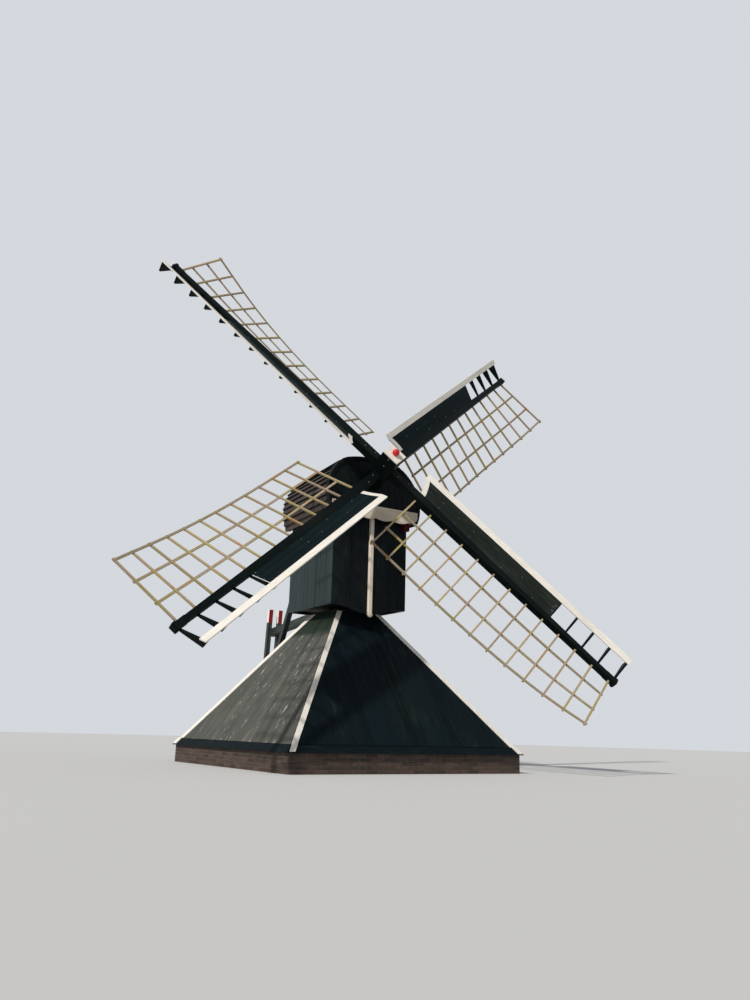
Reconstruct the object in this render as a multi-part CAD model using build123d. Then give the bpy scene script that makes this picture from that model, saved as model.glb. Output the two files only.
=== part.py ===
"""A small hollow-post drainage windmill with four common sails, as separate named pieces.

Millimetres, +Z up. The origin is on the turning axis at ground level, and the sails face -Y.
"""
from build123d import *

import os
from math import asin, cos, degrees, radians, sin, sqrt, tan

# Brick footing and boarded pyramid
BASE_HALF = 2238.0            # outer face of the boards at their lower edge
BASE_TOP_HALF = 450.0         # the same at the upper edge
BASE_TOP_Z = 2680.0
BASE_TURN = 2.4               # degrees that the base is turned to the upper house in the photo
BOARDING = 50.0               # thickness of a boarded side with its framing
FOOTING_H = 300.0
FOOTING_W = 220.0
FOOTING_INSET = 30.0
SKIRT_H = 110.0
SKIRT_T = 24.0
SKIRT_MITRE = 1.0             # half the open joint between two skirting boards
HIP_W = 190.0                 # width over both faces of a hip board
HIP_T = 20.0

# Hollow post and its seat
POST_R = 215.0
POST_BORE_R = 140.0
POST_RISE = 700.0             # how far the post stands up inside the upper house
BEAM_W = 200.0
BEAM_H = 200.0
BEAM_END_GAP = 20.0
COLLAR_H = 30.0
COLLAR_LAP = 25.0
RING_R = 330.0
RING_H = 62.5

# Clearances
SEAT_GAP = 0.5                # faces that slide or turn on each other
RUN_GAP = 8.0                 # moving pieces that pass each other
FIT = 0.3                     # round pieces of one body

# Upper house
HOUSE_HALF_W = 753.0
HOUSE_FRONT = 840.0
HOUSE_BACK = 851.0
HOUSE_WALL = 45.0
FLOOR_T = 70.0
WALL_LAP = 40.0               # how far the walls hang below the floor
EAVES_Z = 4330.0
FRONT_DROP = 118.0            # centre of the front boards below the corners
PLATE_H = 45.0

# Roof: flat boards on two side arcs and a flatter crown, a little smaller at the back
ROOF_SIDE_X = 143.0           # centres of the side arcs from the middle
ROOF_SIDE_Z = 4707.0
ROOF_SIDE_R = 792.0
ROOF_KNEE = 59.0              # degrees up the side arc where the crown starts
ROOF_RIDGE_Z = 5465.0
SIDE_BOARDS = 11
CROWN_BOARDS = 10
ROOF_BACK_DROP = 62.0         # how much lower the ridge is at the back
ROOF_T = 32.0
ROOF_END_LAP = 30.0
ROOF_BACK = 1000.0

# Front gable, its valance and what closes the eaves in front
GABLE_T = 40.0
GABLE_FOOT_Y = 1011.0         # outer face of the front gable at the foot of the valance
GABLE_RAKE = 9.0
SOFFIT_T = 30.0
BLOCK_W = 110.0
BLOCK_L = 115.0
BLOCK_H = 135.0
VALANCE_FOOT_Z = 4290.0
VALANCE_H = 258.0
VALANCE_T = 24.0
VALANCE_HALF_W = 895.0
VALANCE_END_H = 112.0         # lower corner at each end above the foot
VALANCE_END_BOW = 14.0
LOBES = 4
LOBE_W = 335.0
LOBE_DEPTH = 32.0

# Post down the middle of the front
CENTRE_POST_W = 80.0
CENTRE_POST_T = 55.0
CENTRE_POST_FOOT_Z = 2600.0
CENTRE_CHAMFER = 9.0
CENTRE_NOTCH = 20.0
CENTRE_NOTCH_Z = 3935.0
CENTRE_BALL_R = 46.0
BALL_BANDS = 8                # flat bands of a ball from one end to the other
BALL_SIDES = 16
BALL_END = 80.0               # degrees up the ball where its flat end starts

# Windshaft
HUB_Y = 1240.0                # middle of the poll end in front of the turning axis
HUB_Z = 5200.0
SHAFT_TILT = 25.8
POLL_W = 330.0
POLL_FRONT = 380.0
POLL_BACK = 225.0
NECK_R = 140.0
SHAFT_R = 125.0
SHAFT_NECK_L = 410.0
SHAFT_END_Y = 600.0
PIN_R = 45.0
CAP_T = 20.0
KNOB_R = 62.0
KNOB_OUT = 42.0               # middle of the knob in front of the cap
NECK_BEAM_H = 240.0
NECK_BEAM_T = 180.0
END_BEAM_H = 260.0
END_BEAM_GAP = 12.0

# Stocks
SAIL_R = 5500.0
STOCK_MID_Z = 48.0            # between the two stocks, behind the middle of the poll end
STOCK_OFFSET = 77.0
STOCK_W = 170.0
STOCK_T = 150.0
STOCK_TIP_W = 96.0
STOCK_TIP_T = 104.0
STOCK_BOW = 20.0              # how far the tips lean forward of the middle
STOCK_STRAIGHT = 700.0        # untapered length on each side of the middle
SAIL_ANGLE = -48.4            # degrees from +X to the first sail, seen from the front

# Sail lattices
BAR_END_GAP = 134.0           # tip of the stock to the outermost bar
BAR_PITCH = 379.0
BAR_W = 34.0
BAR_T = 46.0
BAR_POKE = 28.0
SAIL_W = 1271.0               # middle of the stock to the trailing lath
LATHS = 3
LATH_W = 44.0
LATH_T = 22.0
LATH_POKE = 45.0
SAIL_FORE = 8.0               # bars in front of the middle of the stock at the hub
TWIST_TIP = 1.2
TWIST_HUB = 23.0

# Leading side of a sail
LEAD_W = 466.0
LEAD_FORE_TIP = 296.0         # leading edge in front of the middle of the stock at the hub
LEAD_FORE_HUB = 230.0
LEAD_ROOT_INSET = 20.0        # where the raked side meets the stock, behind its front face
LEAD_END_GAP = 27.0           # tip of the stock to the outer end of the leading board
LEAD_INNER_R = 653.0
LEAD_BOARD_W = 112.0
LEAD_BOARD_T = 22.0
END_BOARD_W = 100.0
END_BOARD_BOW = 15.0          # middle away from the hub
END_BOARD_SKEW = 140.0        # how much farther from the hub it is at the stock
END_BOARD_FOOT = 10.0         # how far it is let into the stock
END_BOARD_FLATS = 6
WIND_T = 16.0
OPEN_BAYS = 4
BRACKET_T = 20.0
BRACKET_NARROW = 45.0
BRACKET_DEEP = 190.0          # at the leading board of the outermost bar
BRACKET_SHALLOW = 50.0        # the same at the innermost bar
SLOT_START = 40.0             # slot between the two tongues of a bracket on an open bay
SLOT_DEPTH = 34.0
SLOT_W = 10.0

# Tail frame
TAIL_BEAM_W = 130.0
TAIL_BEAM_H = 150.0
TAIL_BEAM_Z = 2808.0          # middle of the tail beam at the back wall
TAIL_BEAM_DROP = 4.7          # degrees
TAIL_BEAM_END_Y = 3270.0
UPRIGHT_W = 90.0
UPRIGHT_TOP_Y = 3120.0
UPRIGHT_TOP_Z = 3090.0
UPRIGHT_FOOT_Z = 430.0
UPRIGHT_LEAN = 4.7            # degrees, the feet farther back than the tops
STRUT_W = 90.0
STRUT_H = 130.0
STRUT_WALL_Z = 2860.0
STRUT_FOOT_Z = 560.0
STRUT_END_LAP = 30.0          # how far a strut runs past its upright

LOW = (Align.CENTER, Align.CENTER, Align.MIN)


def base_half(z, grow=0.0):
    """Half width of the pyramid at height z, its faces moved out by grow."""
    lean = (BASE_HALF - BASE_TOP_HALF) / (BASE_TOP_Z - FOOTING_H)
    return BASE_HALF - lean * (z - FOOTING_H) + grow * sqrt(1 + lean ** 2)


def frustum(grow=0.0, z_low=FOOTING_H, z_high=BASE_TOP_Z):
    """Pyramid body between two heights, its faces moved out by grow."""
    low, high = base_half(z_low, grow), base_half(z_high, grow)
    body = Wedge(2 * low, z_high - z_low, 2 * low, low - high, low - high, low + high, low + high,
                 align=(Align.CENTER, Align.MIN, Align.CENTER))
    return Pos(0, 0, z_low) * Rot(90, 0, 0) * body


def quarter(height, reach):
    """Wedge of space around -Y, bounded by the two diagonals."""
    return extrude(make_face(Polyline((0, 0), (reach, -reach), (-reach, -reach), close=True)), height)


def base_pieces():
    """Footing, four boarded sides, hip boards and skirting."""
    reach = 2 * BASE_HALF
    outer = 2 * (BASE_HALF - FOOTING_INSET)
    pieces = {"brick_footing": extrude(
        Rectangle(outer, outer) - Rectangle(outer - 2 * FOOTING_W, outer - 2 * FOOTING_W), FOOTING_H)}
    shell = frustum() - frustum(-BOARDING)
    for turn, name in enumerate(("front", "right", "back", "left")):
        wedge = Rot(0, 0, 90 * turn) * quarter(BASE_TOP_Z, reach)
        pieces[f"base_{name}_side"] = shell & wedge
    skirt = frustum(SKIRT_T, FOOTING_H, FOOTING_H + SKIRT_H) - frustum()
    pieces["base_skirting"] = Compound(children=[
        skirt & Rot(0, 0, 90 * turn) * Pos(0, -SKIRT_MITRE) * quarter(BASE_TOP_Z, reach)
        for turn in range(4)])
    cover = frustum(HIP_T, FOOTING_H + SKIRT_H, BASE_TOP_Z) - frustum()
    strips = [Rot(0, 0, 45 + 90 * turn) * Pos(BASE_HALF, 0, 0) *
              Box(reach, HIP_W, BASE_TOP_Z, align=LOW) for turn in range(4)]
    pieces["hip_boards"] = Compound(children=[(cover & strip).solids()[0] for strip in strips])
    return pieces


def post_pieces():
    """Cross beams, hollow post and the collar that the upper house turns on."""
    reach = base_half(FOOTING_H + BEAM_H, -BOARDING) - BEAM_END_GAP
    beam = Pos(0, 0, FOOTING_H) * Box(2 * reach, BEAM_W, BEAM_H, align=LOW)
    beams = beam + Rot(0, 0, 90) * beam
    foot = FOOTING_H + BEAM_H
    top = house_floor_z() + FLOOR_T + POST_RISE
    post = Pos(0, 0, foot) * (Cylinder(POST_R, top - foot, align=LOW) -
                              Cylinder(POST_BORE_R, top - foot, align=LOW))
    plate = Pos(0, 0, BASE_TOP_Z) * Box(
        2 * (BASE_TOP_HALF + COLLAR_LAP), 2 * (BASE_TOP_HALF + COLLAR_LAP), COLLAR_H, align=LOW)
    ring = Pos(0, 0, BASE_TOP_Z + COLLAR_H) * Cylinder(RING_R, RING_H, align=LOW)
    collar = plate + ring - Pos(0, 0, foot) * Cylinder(POST_R + FIT, top, align=LOW)
    return {"cross_beams": beams, "hollow_post": post, "post_collar": collar}


def house_floor_z():
    """Underside of the floor of the upper house."""
    return BASE_TOP_Z + COLLAR_H + RING_H + SEAT_GAP


def house_foot_z():
    """Lower edge of the walls, which hang a little below the floor."""
    return house_floor_z() - WALL_LAP


def gable_y(z):
    """Outer face of the raked front gable at height z."""
    return -GABLE_FOOT_Y + (z - VALANCE_FOOT_Z) * tan(radians(GABLE_RAKE))


def gable_plane(inset=0.0):
    """Plane of the front gable: local X across, local Y up the rake, normal forward."""
    rake = radians(GABLE_RAKE)
    forward = Vector(0, -cos(rake), sin(rake))
    return Plane(origin=Vector(0, -GABLE_FOOT_Y, VALANCE_FOOT_Z) - forward * inset,
                 x_dir=(1, 0, 0), z_dir=forward)


def shaft_frame():
    """Frame of the sails: X right, Z back along the windshaft, origin in the poll end."""
    tilt = radians(SHAFT_TILT)
    return Plane(origin=(0, -HUB_Y, HUB_Z), x_dir=(1, 0, 0), z_dir=(0, cos(tilt), -sin(tilt)))


def on_shaft(shape):
    """Put a shape modelled in the sail frame in its place."""
    return shaft_frame().location * shape


def shaft_room(radius):
    """Round space along the windshaft."""
    return on_shaft(Cylinder(radius, 2 * SAIL_R))


def upright(face, y_front, thickness):
    """Extrude a face drawn in X and Z backwards from y_front."""
    return extrude(section_plane(y_front, 0) * face, -thickness)


def section_plane(y, z):
    """Plane square to Y with its local Y upwards."""
    return Plane(origin=(0, y, z), x_dir=(1, 0, 0), z_dir=(0, -1, 0))


def roof_corners(inset):
    """Corners of the roof section from the middle of the eaves, its outline moved in."""
    radius, up = ROOF_SIDE_R - inset, ROOF_SIDE_Z - EAVES_Z
    foot = -asin(up / radius)
    step = (radians(ROOF_KNEE) - foot) / SIDE_BOARDS
    angles = [foot + step * index for index in range(SIDE_BOARDS + 1)]
    right = [Vector(ROOF_SIDE_X + radius * cos(angle), up + radius * sin(angle)) for angle in angles]
    left = [Vector(-corner.X, corner.Y) for corner in reversed(right)]
    crown = ThreePointArc(right[-1], (0, ROOF_RIDGE_Z - EAVES_Z - inset), left[0])
    return right + [crown @ (index / CROWN_BOARDS) for index in range(1, CROWN_BOARDS)] + left


def flat_body(rings):
    """Body of flat faces between rings of as many corners, closed by the first and the last."""
    faces = [make_face(Polyline(a, b, c, d, close=True)) for near, far in zip(rings, rings[1:])
             for a, b, c, d in zip(near, near[1:] + near[:1], far[1:] + far[:1], far)]
    return Solid(Shell(faces + [make_face(Polyline(*ring, close=True)) for ring in (rings[0], rings[-1])]))


def roof_body(inset=0.0):
    """Space under the roof, its outline moved in, tapering towards the back."""
    corners = roof_corners(inset)
    taper = 1 - ROOF_BACK_DROP / (ROOF_RIDGE_Z - EAVES_Z)
    front, back = -GABLE_FOOT_Y - ROOF_END_LAP, ROOF_BACK
    return flat_body([[Vector(corner.X * share, y, EAVES_Z + corner.Y * share) for corner in corners]
                      for y, share in ((front, 1.0), (back, taper))])


def front_boards_face():
    """Front wall with its lower edge in two ogees, low in the middle."""
    half = HOUSE_HALF_W - HOUSE_WALL
    corner, middle = Vector(half, house_foot_z()), Vector(0, house_foot_z() - FRONT_DROP)
    turn = (corner + middle) * 0.5
    upper = TangentArc(corner, turn, tangent=(-1, 0))
    lower = TangentArc(turn, middle, tangent=upper % 1)
    edge = Polyline(corner, (half, EAVES_Z), (0, EAVES_Z)) + upper + lower
    return make_face(edge.edges() + edge.mirror(Plane.YZ).edges())


def house_pieces():
    """Floor, four walls and the gable in the roof's back end."""
    low = house_foot_z()
    width, length = 2 * HOUSE_HALF_W, HOUSE_FRONT + HOUSE_BACK
    mid_y = (HOUSE_BACK - HOUSE_FRONT) / 2
    inside_w, inside_l = width - 2 * HOUSE_WALL, length - 2 * HOUSE_WALL
    floor = Pos(0, mid_y, house_floor_z()) * Box(inside_w, inside_l, FLOOR_T, align=LOW)
    floor -= Pos(0, 0, low) * Cylinder(POST_R + RUN_GAP, WALL_LAP + FLOOR_T, align=LOW)
    side = Pos(HOUSE_HALF_W - HOUSE_WALL / 2, mid_y, low) * Box(
        HOUSE_WALL, length, EAVES_Z - low, align=LOW)
    front = upright(front_boards_face(), -HOUSE_FRONT, HOUSE_WALL)
    back_face = Pos(0, (low + EAVES_Z) / 2) * Rectangle(inside_w, EAVES_Z - low)
    back = upright(back_face, HOUSE_BACK - HOUSE_WALL, HOUSE_WALL)
    slab = upright(Pos(0, EAVES_Z + ROOF_SIDE_R) * Rectangle(3 * ROOF_SIDE_R, 2 * ROOF_SIDE_R),
                   HOUSE_BACK - HOUSE_WALL, HOUSE_WALL)
    return {
        "house_floor": floor, "house_right_wall": side, "house_left_wall": side.mirror(Plane.YZ),
        "house_front_wall": front, "house_back_wall": back, "back_gable": slab & roof_body(ROOF_T),
    }


def roof_pieces():
    """Roof shell and the raked gable that closes it in front."""
    reach = 3 * ROOF_SIDE_R
    shell = roof_body() - roof_body(ROOF_T)
    shell -= extrude(gable_plane(-ROOF_END_LAP) * Rectangle(2 * reach, 2 * reach), reach)
    shell -= extrude(gable_plane() * Rectangle(2 * reach, 2 * VALANCE_H), reach)
    slab = extrude(gable_plane() * Rectangle(2 * reach, 2 * reach), -GABLE_T)
    gable = (slab & roof_body(ROOF_T)) - shaft_room(NECK_R + RUN_GAP)
    return {"roof_shell": shell, "front_gable": gable}


def eaves_pieces():
    """Wall plates that close the eaves, the soffit in front and the blocks under its ends."""
    under_roof, reach = roof_body(ROOF_T), 2 * ROOF_SIDE_R
    front, back = -HOUSE_FRONT + HOUSE_WALL, HOUSE_BACK - HOUSE_WALL
    inner = HOUSE_HALF_W - HOUSE_WALL
    strip = Pos(inner, (front + back) / 2, EAVES_Z) * Box(
        reach, back - front, PLATE_H, align=(Align.MIN, Align.CENTER, Align.MIN))
    plate = strip & under_roof
    slab = Pos(0, front, EAVES_Z) * Box(
        2 * reach, reach, SOFFIT_T, align=(Align.CENTER, Align.MAX, Align.MIN))
    soffit = (slab & under_roof) - extrude(gable_plane(GABLE_T) * Rectangle(2 * reach, 2 * reach), reach)
    block = Pos(HOUSE_HALF_W, -HOUSE_FRONT, EAVES_Z) * Box(
        BLOCK_W, BLOCK_L, BLOCK_H, align=(Align.MAX, Align.MAX, Align.MAX))
    return {
        "wall_plates": Compound(children=[plate, plate.mirror(Plane.YZ)]), "gable_soffit": soffit,
        "eaves_blocks": Compound(children=[block, block.mirror(Plane.YZ)]),
    }


def valance():
    """Board under the front gable, its lower edge in round lobes that sweep up at the ends."""
    cusps = [((index - LOBES / 2) * LOBE_W, LOBE_DEPTH) for index in range(LOBES + 1)]
    right, top = (VALANCE_HALF_W, VALANCE_END_H), (VALANCE_HALF_W, VALANCE_H)
    left, top_left = (-VALANCE_HALF_W, VALANCE_END_H), (-VALANCE_HALF_W, VALANCE_H)
    edge = [SagittaArc(a, b, -LOBE_DEPTH) for a, b in zip(cusps, cusps[1:])]
    edge += [SagittaArc(left, cusps[0], -VALANCE_END_BOW), SagittaArc(cusps[-1], right, -VALANCE_END_BOW)]
    return extrude(gable_plane() * make_face(edge + [Polyline(right, top, top_left, left)]), VALANCE_T)


def centre_post():
    """White post down the middle of the front, chamfered and notched, with a ball at its foot."""
    post = Pos(0, -HOUSE_FRONT, CENTRE_POST_FOOT_Z) * Box(
        CENTRE_POST_W, CENTRE_POST_T, EAVES_Z - CENTRE_POST_FOOT_Z, align=(Align.CENTER, Align.MAX, Align.MIN))
    face = post.faces().sort_by(Axis.Y)[0]
    post = chamfer(face.edges().filter_by(Axis.Z), CENTRE_CHAMFER)
    post -= Pos(0, -HOUSE_FRONT - CENTRE_POST_T, CENTRE_NOTCH_Z) * Rot(45, 0, 0) * Box(
        2 * CENTRE_POST_W, CENTRE_NOTCH, CENTRE_NOTCH)
    return post + Pos(0, -HOUSE_FRONT - CENTRE_BALL_R, CENTRE_POST_FOOT_Z) * turned_ball(CENTRE_BALL_R, -BALL_END)


def turned_ball(radius, low):
    """Ball of flat faces, from an angle in degrees up to its flat end."""
    angles = [radians(low + (BALL_END - low) * index / BALL_BANDS) for index in range(BALL_BANDS + 1)]
    turns = [radians(360 * index / BALL_SIDES) for index in range(BALL_SIDES)]
    return flat_body([[Vector(cos(angle) * cos(turn), cos(angle) * sin(turn), sin(angle)) * radius
                       for turn in turns] for angle in angles])


def shaft_z(y):
    """Height of the windshaft's axis at a distance y."""
    return HUB_Z - (y + HUB_Y) * tan(radians(SHAFT_TILT))


def bearing_beams():
    """Neck beam behind the front gable and tail beam on the back wall."""
    reach = 2 * ROOF_SIDE_R
    block = extrude(gable_plane(GABLE_T) * Rectangle(2 * reach, 2 * reach), -NECK_BEAM_T)
    top = shaft_z(gable_y(HUB_Z) + GABLE_T + NECK_BEAM_T / 2)
    room = Pos(0, 0, top - NECK_BEAM_H) * Box(2 * reach, 2 * reach, NECK_BEAM_H, align=LOW)
    neck = (block & room & roof_body(ROOF_T)) - shaft_room(NECK_R + SEAT_GAP)
    back_y = HOUSE_BACK - HOUSE_WALL
    front_y = SHAFT_END_Y + SHAFT_R * sin(radians(SHAFT_TILT)) + END_BEAM_GAP
    tail = Pos(0, (front_y + back_y) / 2, shaft_z(front_y) - END_BEAM_H / 2) * Box(
        2 * (HOUSE_HALF_W - HOUSE_WALL), back_y - front_y, END_BEAM_H, align=LOW)
    return {"neck_beam": neck, "shaft_tail_beam": tail - shaft_room(PIN_R + SEAT_GAP)}


def tail_pieces():
    """Beam, two painted uprights and two struts of the frame that the upper house is turned by."""
    reach = 2 * TAIL_BEAM_END_Y
    behind = Pos(0, HOUSE_BACK, 0) * Box(
        reach, TAIL_BEAM_END_Y - HOUSE_BACK, 2 * UPRIGHT_TOP_Z, align=(Align.CENTER, Align.MIN, Align.CENTER))
    beam = Pos(0, HOUSE_BACK, TAIL_BEAM_Z) * Rot(-TAIL_BEAM_DROP, 0, 0) * Box(
        TAIL_BEAM_W, reach, TAIL_BEAM_H) & behind
    length = (UPRIGHT_TOP_Z - UPRIGHT_FOOT_Z) / cos(radians(UPRIGHT_LEAN))
    side_x = TAIL_BEAM_W / 2 + UPRIGHT_W
    post = Pos(side_x, UPRIGHT_TOP_Y, UPRIGHT_TOP_Z) * Rot(UPRIGHT_LEAN, 0, 0) * Box(
        UPRIGHT_W, UPRIGHT_W, length, align=(Align.MAX, Align.CENTER, Align.MAX))
    foot_y = UPRIGHT_TOP_Y + (UPRIGHT_TOP_Z - STRUT_FOOT_Z) * tan(radians(UPRIGHT_LEAN))
    head = Vector(HOUSE_HALF_W - STRUT_W / 2, HOUSE_BACK, STRUT_WALL_Z)
    foot = Vector(side_x + STRUT_W / 2, foot_y, STRUT_FOOT_Z)
    along = (foot - head).normalized()
    line = Plane(origin=head - along * STRUT_H * 2, x_dir=(along.Y, -along.X, 0), z_dir=along)
    strut = extrude(line * Rectangle(STRUT_W, STRUT_H), (foot - head).length + 4 * STRUT_H)
    room_l = foot_y + UPRIGHT_W / 2 + STRUT_END_LAP - HOUSE_BACK
    strut &= Pos(side_x, HOUSE_BACK, 0) * Box(reach, room_l, reach, align=(Align.MIN, Align.MIN, Align.MIN))
    return {
        "tail_beam": beam,
        "tail_uprights": Compound(children=[post, post.mirror(Plane.YZ)]),
        "tail_struts": Compound(children=[strut, strut.mirror(Plane.YZ)]),
    }


def stock_share(x):
    """Share of the way along the taper at radius x."""
    return max(0.0, (x - STOCK_STRAIGHT) / (SAIL_R - STOCK_STRAIGHT))


def stock_half_w(x):
    """Half width of the stock at radius x."""
    return (STOCK_W + (STOCK_TIP_W - STOCK_W) * stock_share(x)) / 2


def stock_half_t(x):
    """Half thickness of the stock at radius x."""
    return (STOCK_T + (STOCK_TIP_T - STOCK_T) * stock_share(x)) / 2


def stock_fore(x):
    """How far the stock at radius x leans forward of its middle."""
    return STOCK_BOW * stock_share(x)


def stock(z):
    """One tapered stock along local X, its middle at depth z and its tips leaning forward."""
    rings = []
    for x in (-SAIL_R, -STOCK_STRAIGHT, STOCK_STRAIGHT, SAIL_R):
        half_w, half_t = stock_half_w(abs(x)), stock_half_t(abs(x))
        middle = z - stock_fore(abs(x))
        rings.append([Vector(x, y, middle + depth) for y, depth in (
            (-half_w, -half_t), (half_w, -half_t), (half_w, half_t), (-half_w, half_t))])
    return flat_body(rings)


def twist(index):
    """Angle of a bar in degrees, growing fast from the tip and little near the hub."""
    return TWIST_TIP + (TWIST_HUB - TWIST_TIP) * twist_share(index)


def twist_share(index):
    """Share of the whole twist that a bar has."""
    return 1 - (1 - index / (bar_count() - 1)) ** 3


def bar_x(index):
    """Distance of a bar from the hub."""
    return SAIL_R - BAR_END_GAP - BAR_PITCH * index


def bar_count():
    """As many bars as fit outside the boards that close the inner ends."""
    return 1 + int((bar_x(0) - LEAD_INNER_R - END_BOARD_W) / BAR_PITCH)


def bars(z):
    """Cross bars of one sail, each let into the middle of the stock."""
    length = SAIL_W + BAR_POKE
    return [Pos(bar_x(index), 0, z - SAIL_FORE) * Rot(twist(index), 0, 0) *
            Pos(0, length / 2, 0) * Box(BAR_W, length, BAR_T) for index in range(bar_count())]


def lattice(z):
    """Twisted sail lattice: cross bars fused with the long laths."""
    laths = []
    for lath in range(1, LATHS + 1):
        out = SAIL_W * lath / LATHS
        sections = []
        for index in range(bar_count()):
            angle = radians(twist(index))
            x = bar_x(index) + (LATH_POKE if index == 0 else -LATH_POKE if index == bar_count() - 1 else 0)
            spot = Plane(origin=(x, out * cos(angle), z - SAIL_FORE + out * sin(angle)),
                         x_dir=(0, cos(angle), sin(angle)), z_dir=(1, 0, 0))
            sections.append(spot * Rectangle(LATH_W, LATH_T))
        laths.append(loft(sections, ruled=True))
    return laths[0].fuse(*laths[1:], *bars(z))


def lead_fore(x):
    """How far the leading edge at radius x stands forward of the middle of the stock at the hub."""
    share = (x - LEAD_INNER_R) / (lead_outer_r() - LEAD_INNER_R)
    return LEAD_FORE_HUB + (LEAD_FORE_TIP - LEAD_FORE_HUB) * share


def lead_outer_r():
    """Outer end of the leading board."""
    return SAIL_R - LEAD_END_GAP


def lead_root(x):
    """Where the raked side meets the stock at radius x: how far out, and how far forward."""
    return stock_half_w(x), stock_fore(x) + stock_half_t(x) - LEAD_ROOT_INSET


def lead_span(x):
    """Way across the raked side at radius x: outwards and forwards."""
    root, fore = lead_root(x)
    return Vector(LEAD_W - root, lead_fore(x) - fore)


def lead_plate(z, x_inner, x_outer, from_share, to_share, thickness):
    """Board on the raked leading side between two shares of its width."""
    sections = []
    for x in (x_inner, x_outer):
        (root, fore), span = lead_root(x), lead_span(x)
        low, high = from_share(span), to_share(span)
        middle = Vector(root, fore) + span * ((low + high) / 2)
        spot = Plane(origin=(x, -middle.X, z - middle.Y), x_dir=(0, -span.X, -span.Y), z_dir=(1, 0, 0))
        sections.append(spot * Rectangle(span.length * (high - low), thickness))
    return loft(sections, ruled=True)


def wind_boards(z):
    """Dark boards between the stock and the leading board on the inner bays."""
    board = lead_plate(z, LEAD_INNER_R, bar_x(OPEN_BAYS) + BRACKET_T / 2, lambda s: 0.0,
                       lambda s: 1 - LEAD_BOARD_W / s.length, WIND_T)
    plane, out = end_plane(z)
    middle = END_BOARD_W / 2
    hub_side = make_face(Polyline(
        (-SAIL_R, -out), (middle + 2 * END_BOARD_SKEW, -out), (middle, out), (middle, 2 * out), (-SAIL_R, 2 * out),
        close=True))
    return board - stock(z) - extrude(plane * hub_side, LEAD_W, both=True) - end_board(z)


def end_plane(z):
    """Plane of the board at the inner end, and the length of that board."""
    (root, fore), span = lead_root(LEAD_INNER_R), lead_span(LEAD_INNER_R)
    across = Vector(0, -span.X, -span.Y)
    plane = Plane(origin=(LEAD_INNER_R, -root, z - fore), x_dir=(1, 0, 0), z_dir=Vector(1, 0, 0).cross(across))
    return plane, span.length - LEAD_BOARD_W


def end_board(z):
    """White curved board that closes the inner end of the wind boards."""
    plane, out = end_plane(z)
    edge = SagittaArc((END_BOARD_SKEW, -END_BOARD_FOOT), (0, out), -END_BOARD_BOW)
    near = [edge @ (index / END_BOARD_FLATS) for index in range(END_BOARD_FLATS + 1)]
    far = [Vector(corner.X + END_BOARD_W, corner.Y) for corner in reversed(near)]
    return extrude(plane * make_face(Polyline(*near, *far, close=True)), LEAD_BOARD_T / 2, both=True)


def lead_board(z):
    """White board along the whole leading edge."""
    return lead_plate(z, LEAD_INNER_R, lead_outer_r(), lambda s: 1 - LEAD_BOARD_W / s.length,
                      lambda s: 1.0, LEAD_BOARD_T)


def bracket_face(index):
    """Outline of a bracket, drawn outwards and forwards from the middle of the stock."""
    x = bar_x(index)
    (root, fore), span = lead_root(x), lead_span(x)
    deep = BRACKET_DEEP + (BRACKET_SHALLOW - BRACKET_DEEP) * twist_share(index)
    tip = lead_fore(x)
    face = make_face(Polyline(
        (0, fore), (root, fore), (LEAD_W, tip), (LEAD_W, tip - deep), (root, fore - BRACKET_NARROW),
        (0, fore - BRACKET_NARROW), close=True))
    if index >= OPEN_BAYS:
        return face
    along = span.normalized()
    back = Vector(along.Y, -along.X)
    start = Vector(root, fore) + along * SLOT_START + back * SLOT_DEPTH
    end = start + along * span.length
    return face - make_face(Polyline(start, end, end + back * SLOT_W, start + back * SLOT_W / 2, close=True))


def brackets(z):
    """Tapered plates that carry the leading side, in two tongues where no boards cover them."""
    plates, taken = [], stock(z) + lead_board(z) + wind_boards(z) + end_board(z)
    for index in range(bar_count()):
        spot = Plane(origin=(bar_x(index), 0, z), x_dir=(0, -1, 0), z_dir=(1, 0, 0))
        plate = extrude(spot * bracket_face(index), BRACKET_T / 2, both=True) - taken
        plates.append(plate.solids().sort_by(SortBy.VOLUME)[-1])
    return plates


def shaft_pieces(turn):
    """Windshaft with its square poll end, and the cap and knob in front."""
    square = Rot(0, 0, turn) * Pos(0, 0, -POLL_FRONT) * Box(
        POLL_W, POLL_W, POLL_FRONT + POLL_BACK, align=LOW)
    end = (SHAFT_END_Y + HUB_Y) / cos(radians(SHAFT_TILT))
    neck = Pos(0, 0, POLL_BACK) * Cylinder(NECK_R, SHAFT_NECK_L, align=LOW)
    shaft = Pos(0, 0, POLL_BACK) * Cylinder(SHAFT_R, end - POLL_BACK, align=LOW)
    pin = Pos(0, 0, POLL_BACK) * Cylinder(PIN_R, end - POLL_BACK + 3 * PIN_R, align=LOW)
    cap = Rot(0, 0, turn) * Pos(0, 0, -POLL_FRONT - CAP_T) * Box(POLL_W, POLL_W, CAP_T, align=LOW)
    knob = Pos(0, 0, -POLL_FRONT - CAP_T - KNOB_OUT) * Rot(180, 0, 0) * turned_ball(
        KNOB_R, -degrees(asin(KNOB_OUT / KNOB_R)))
    return square + neck + shaft + pin, {"poll_end_cap": cap, "poll_knob": knob}


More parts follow.
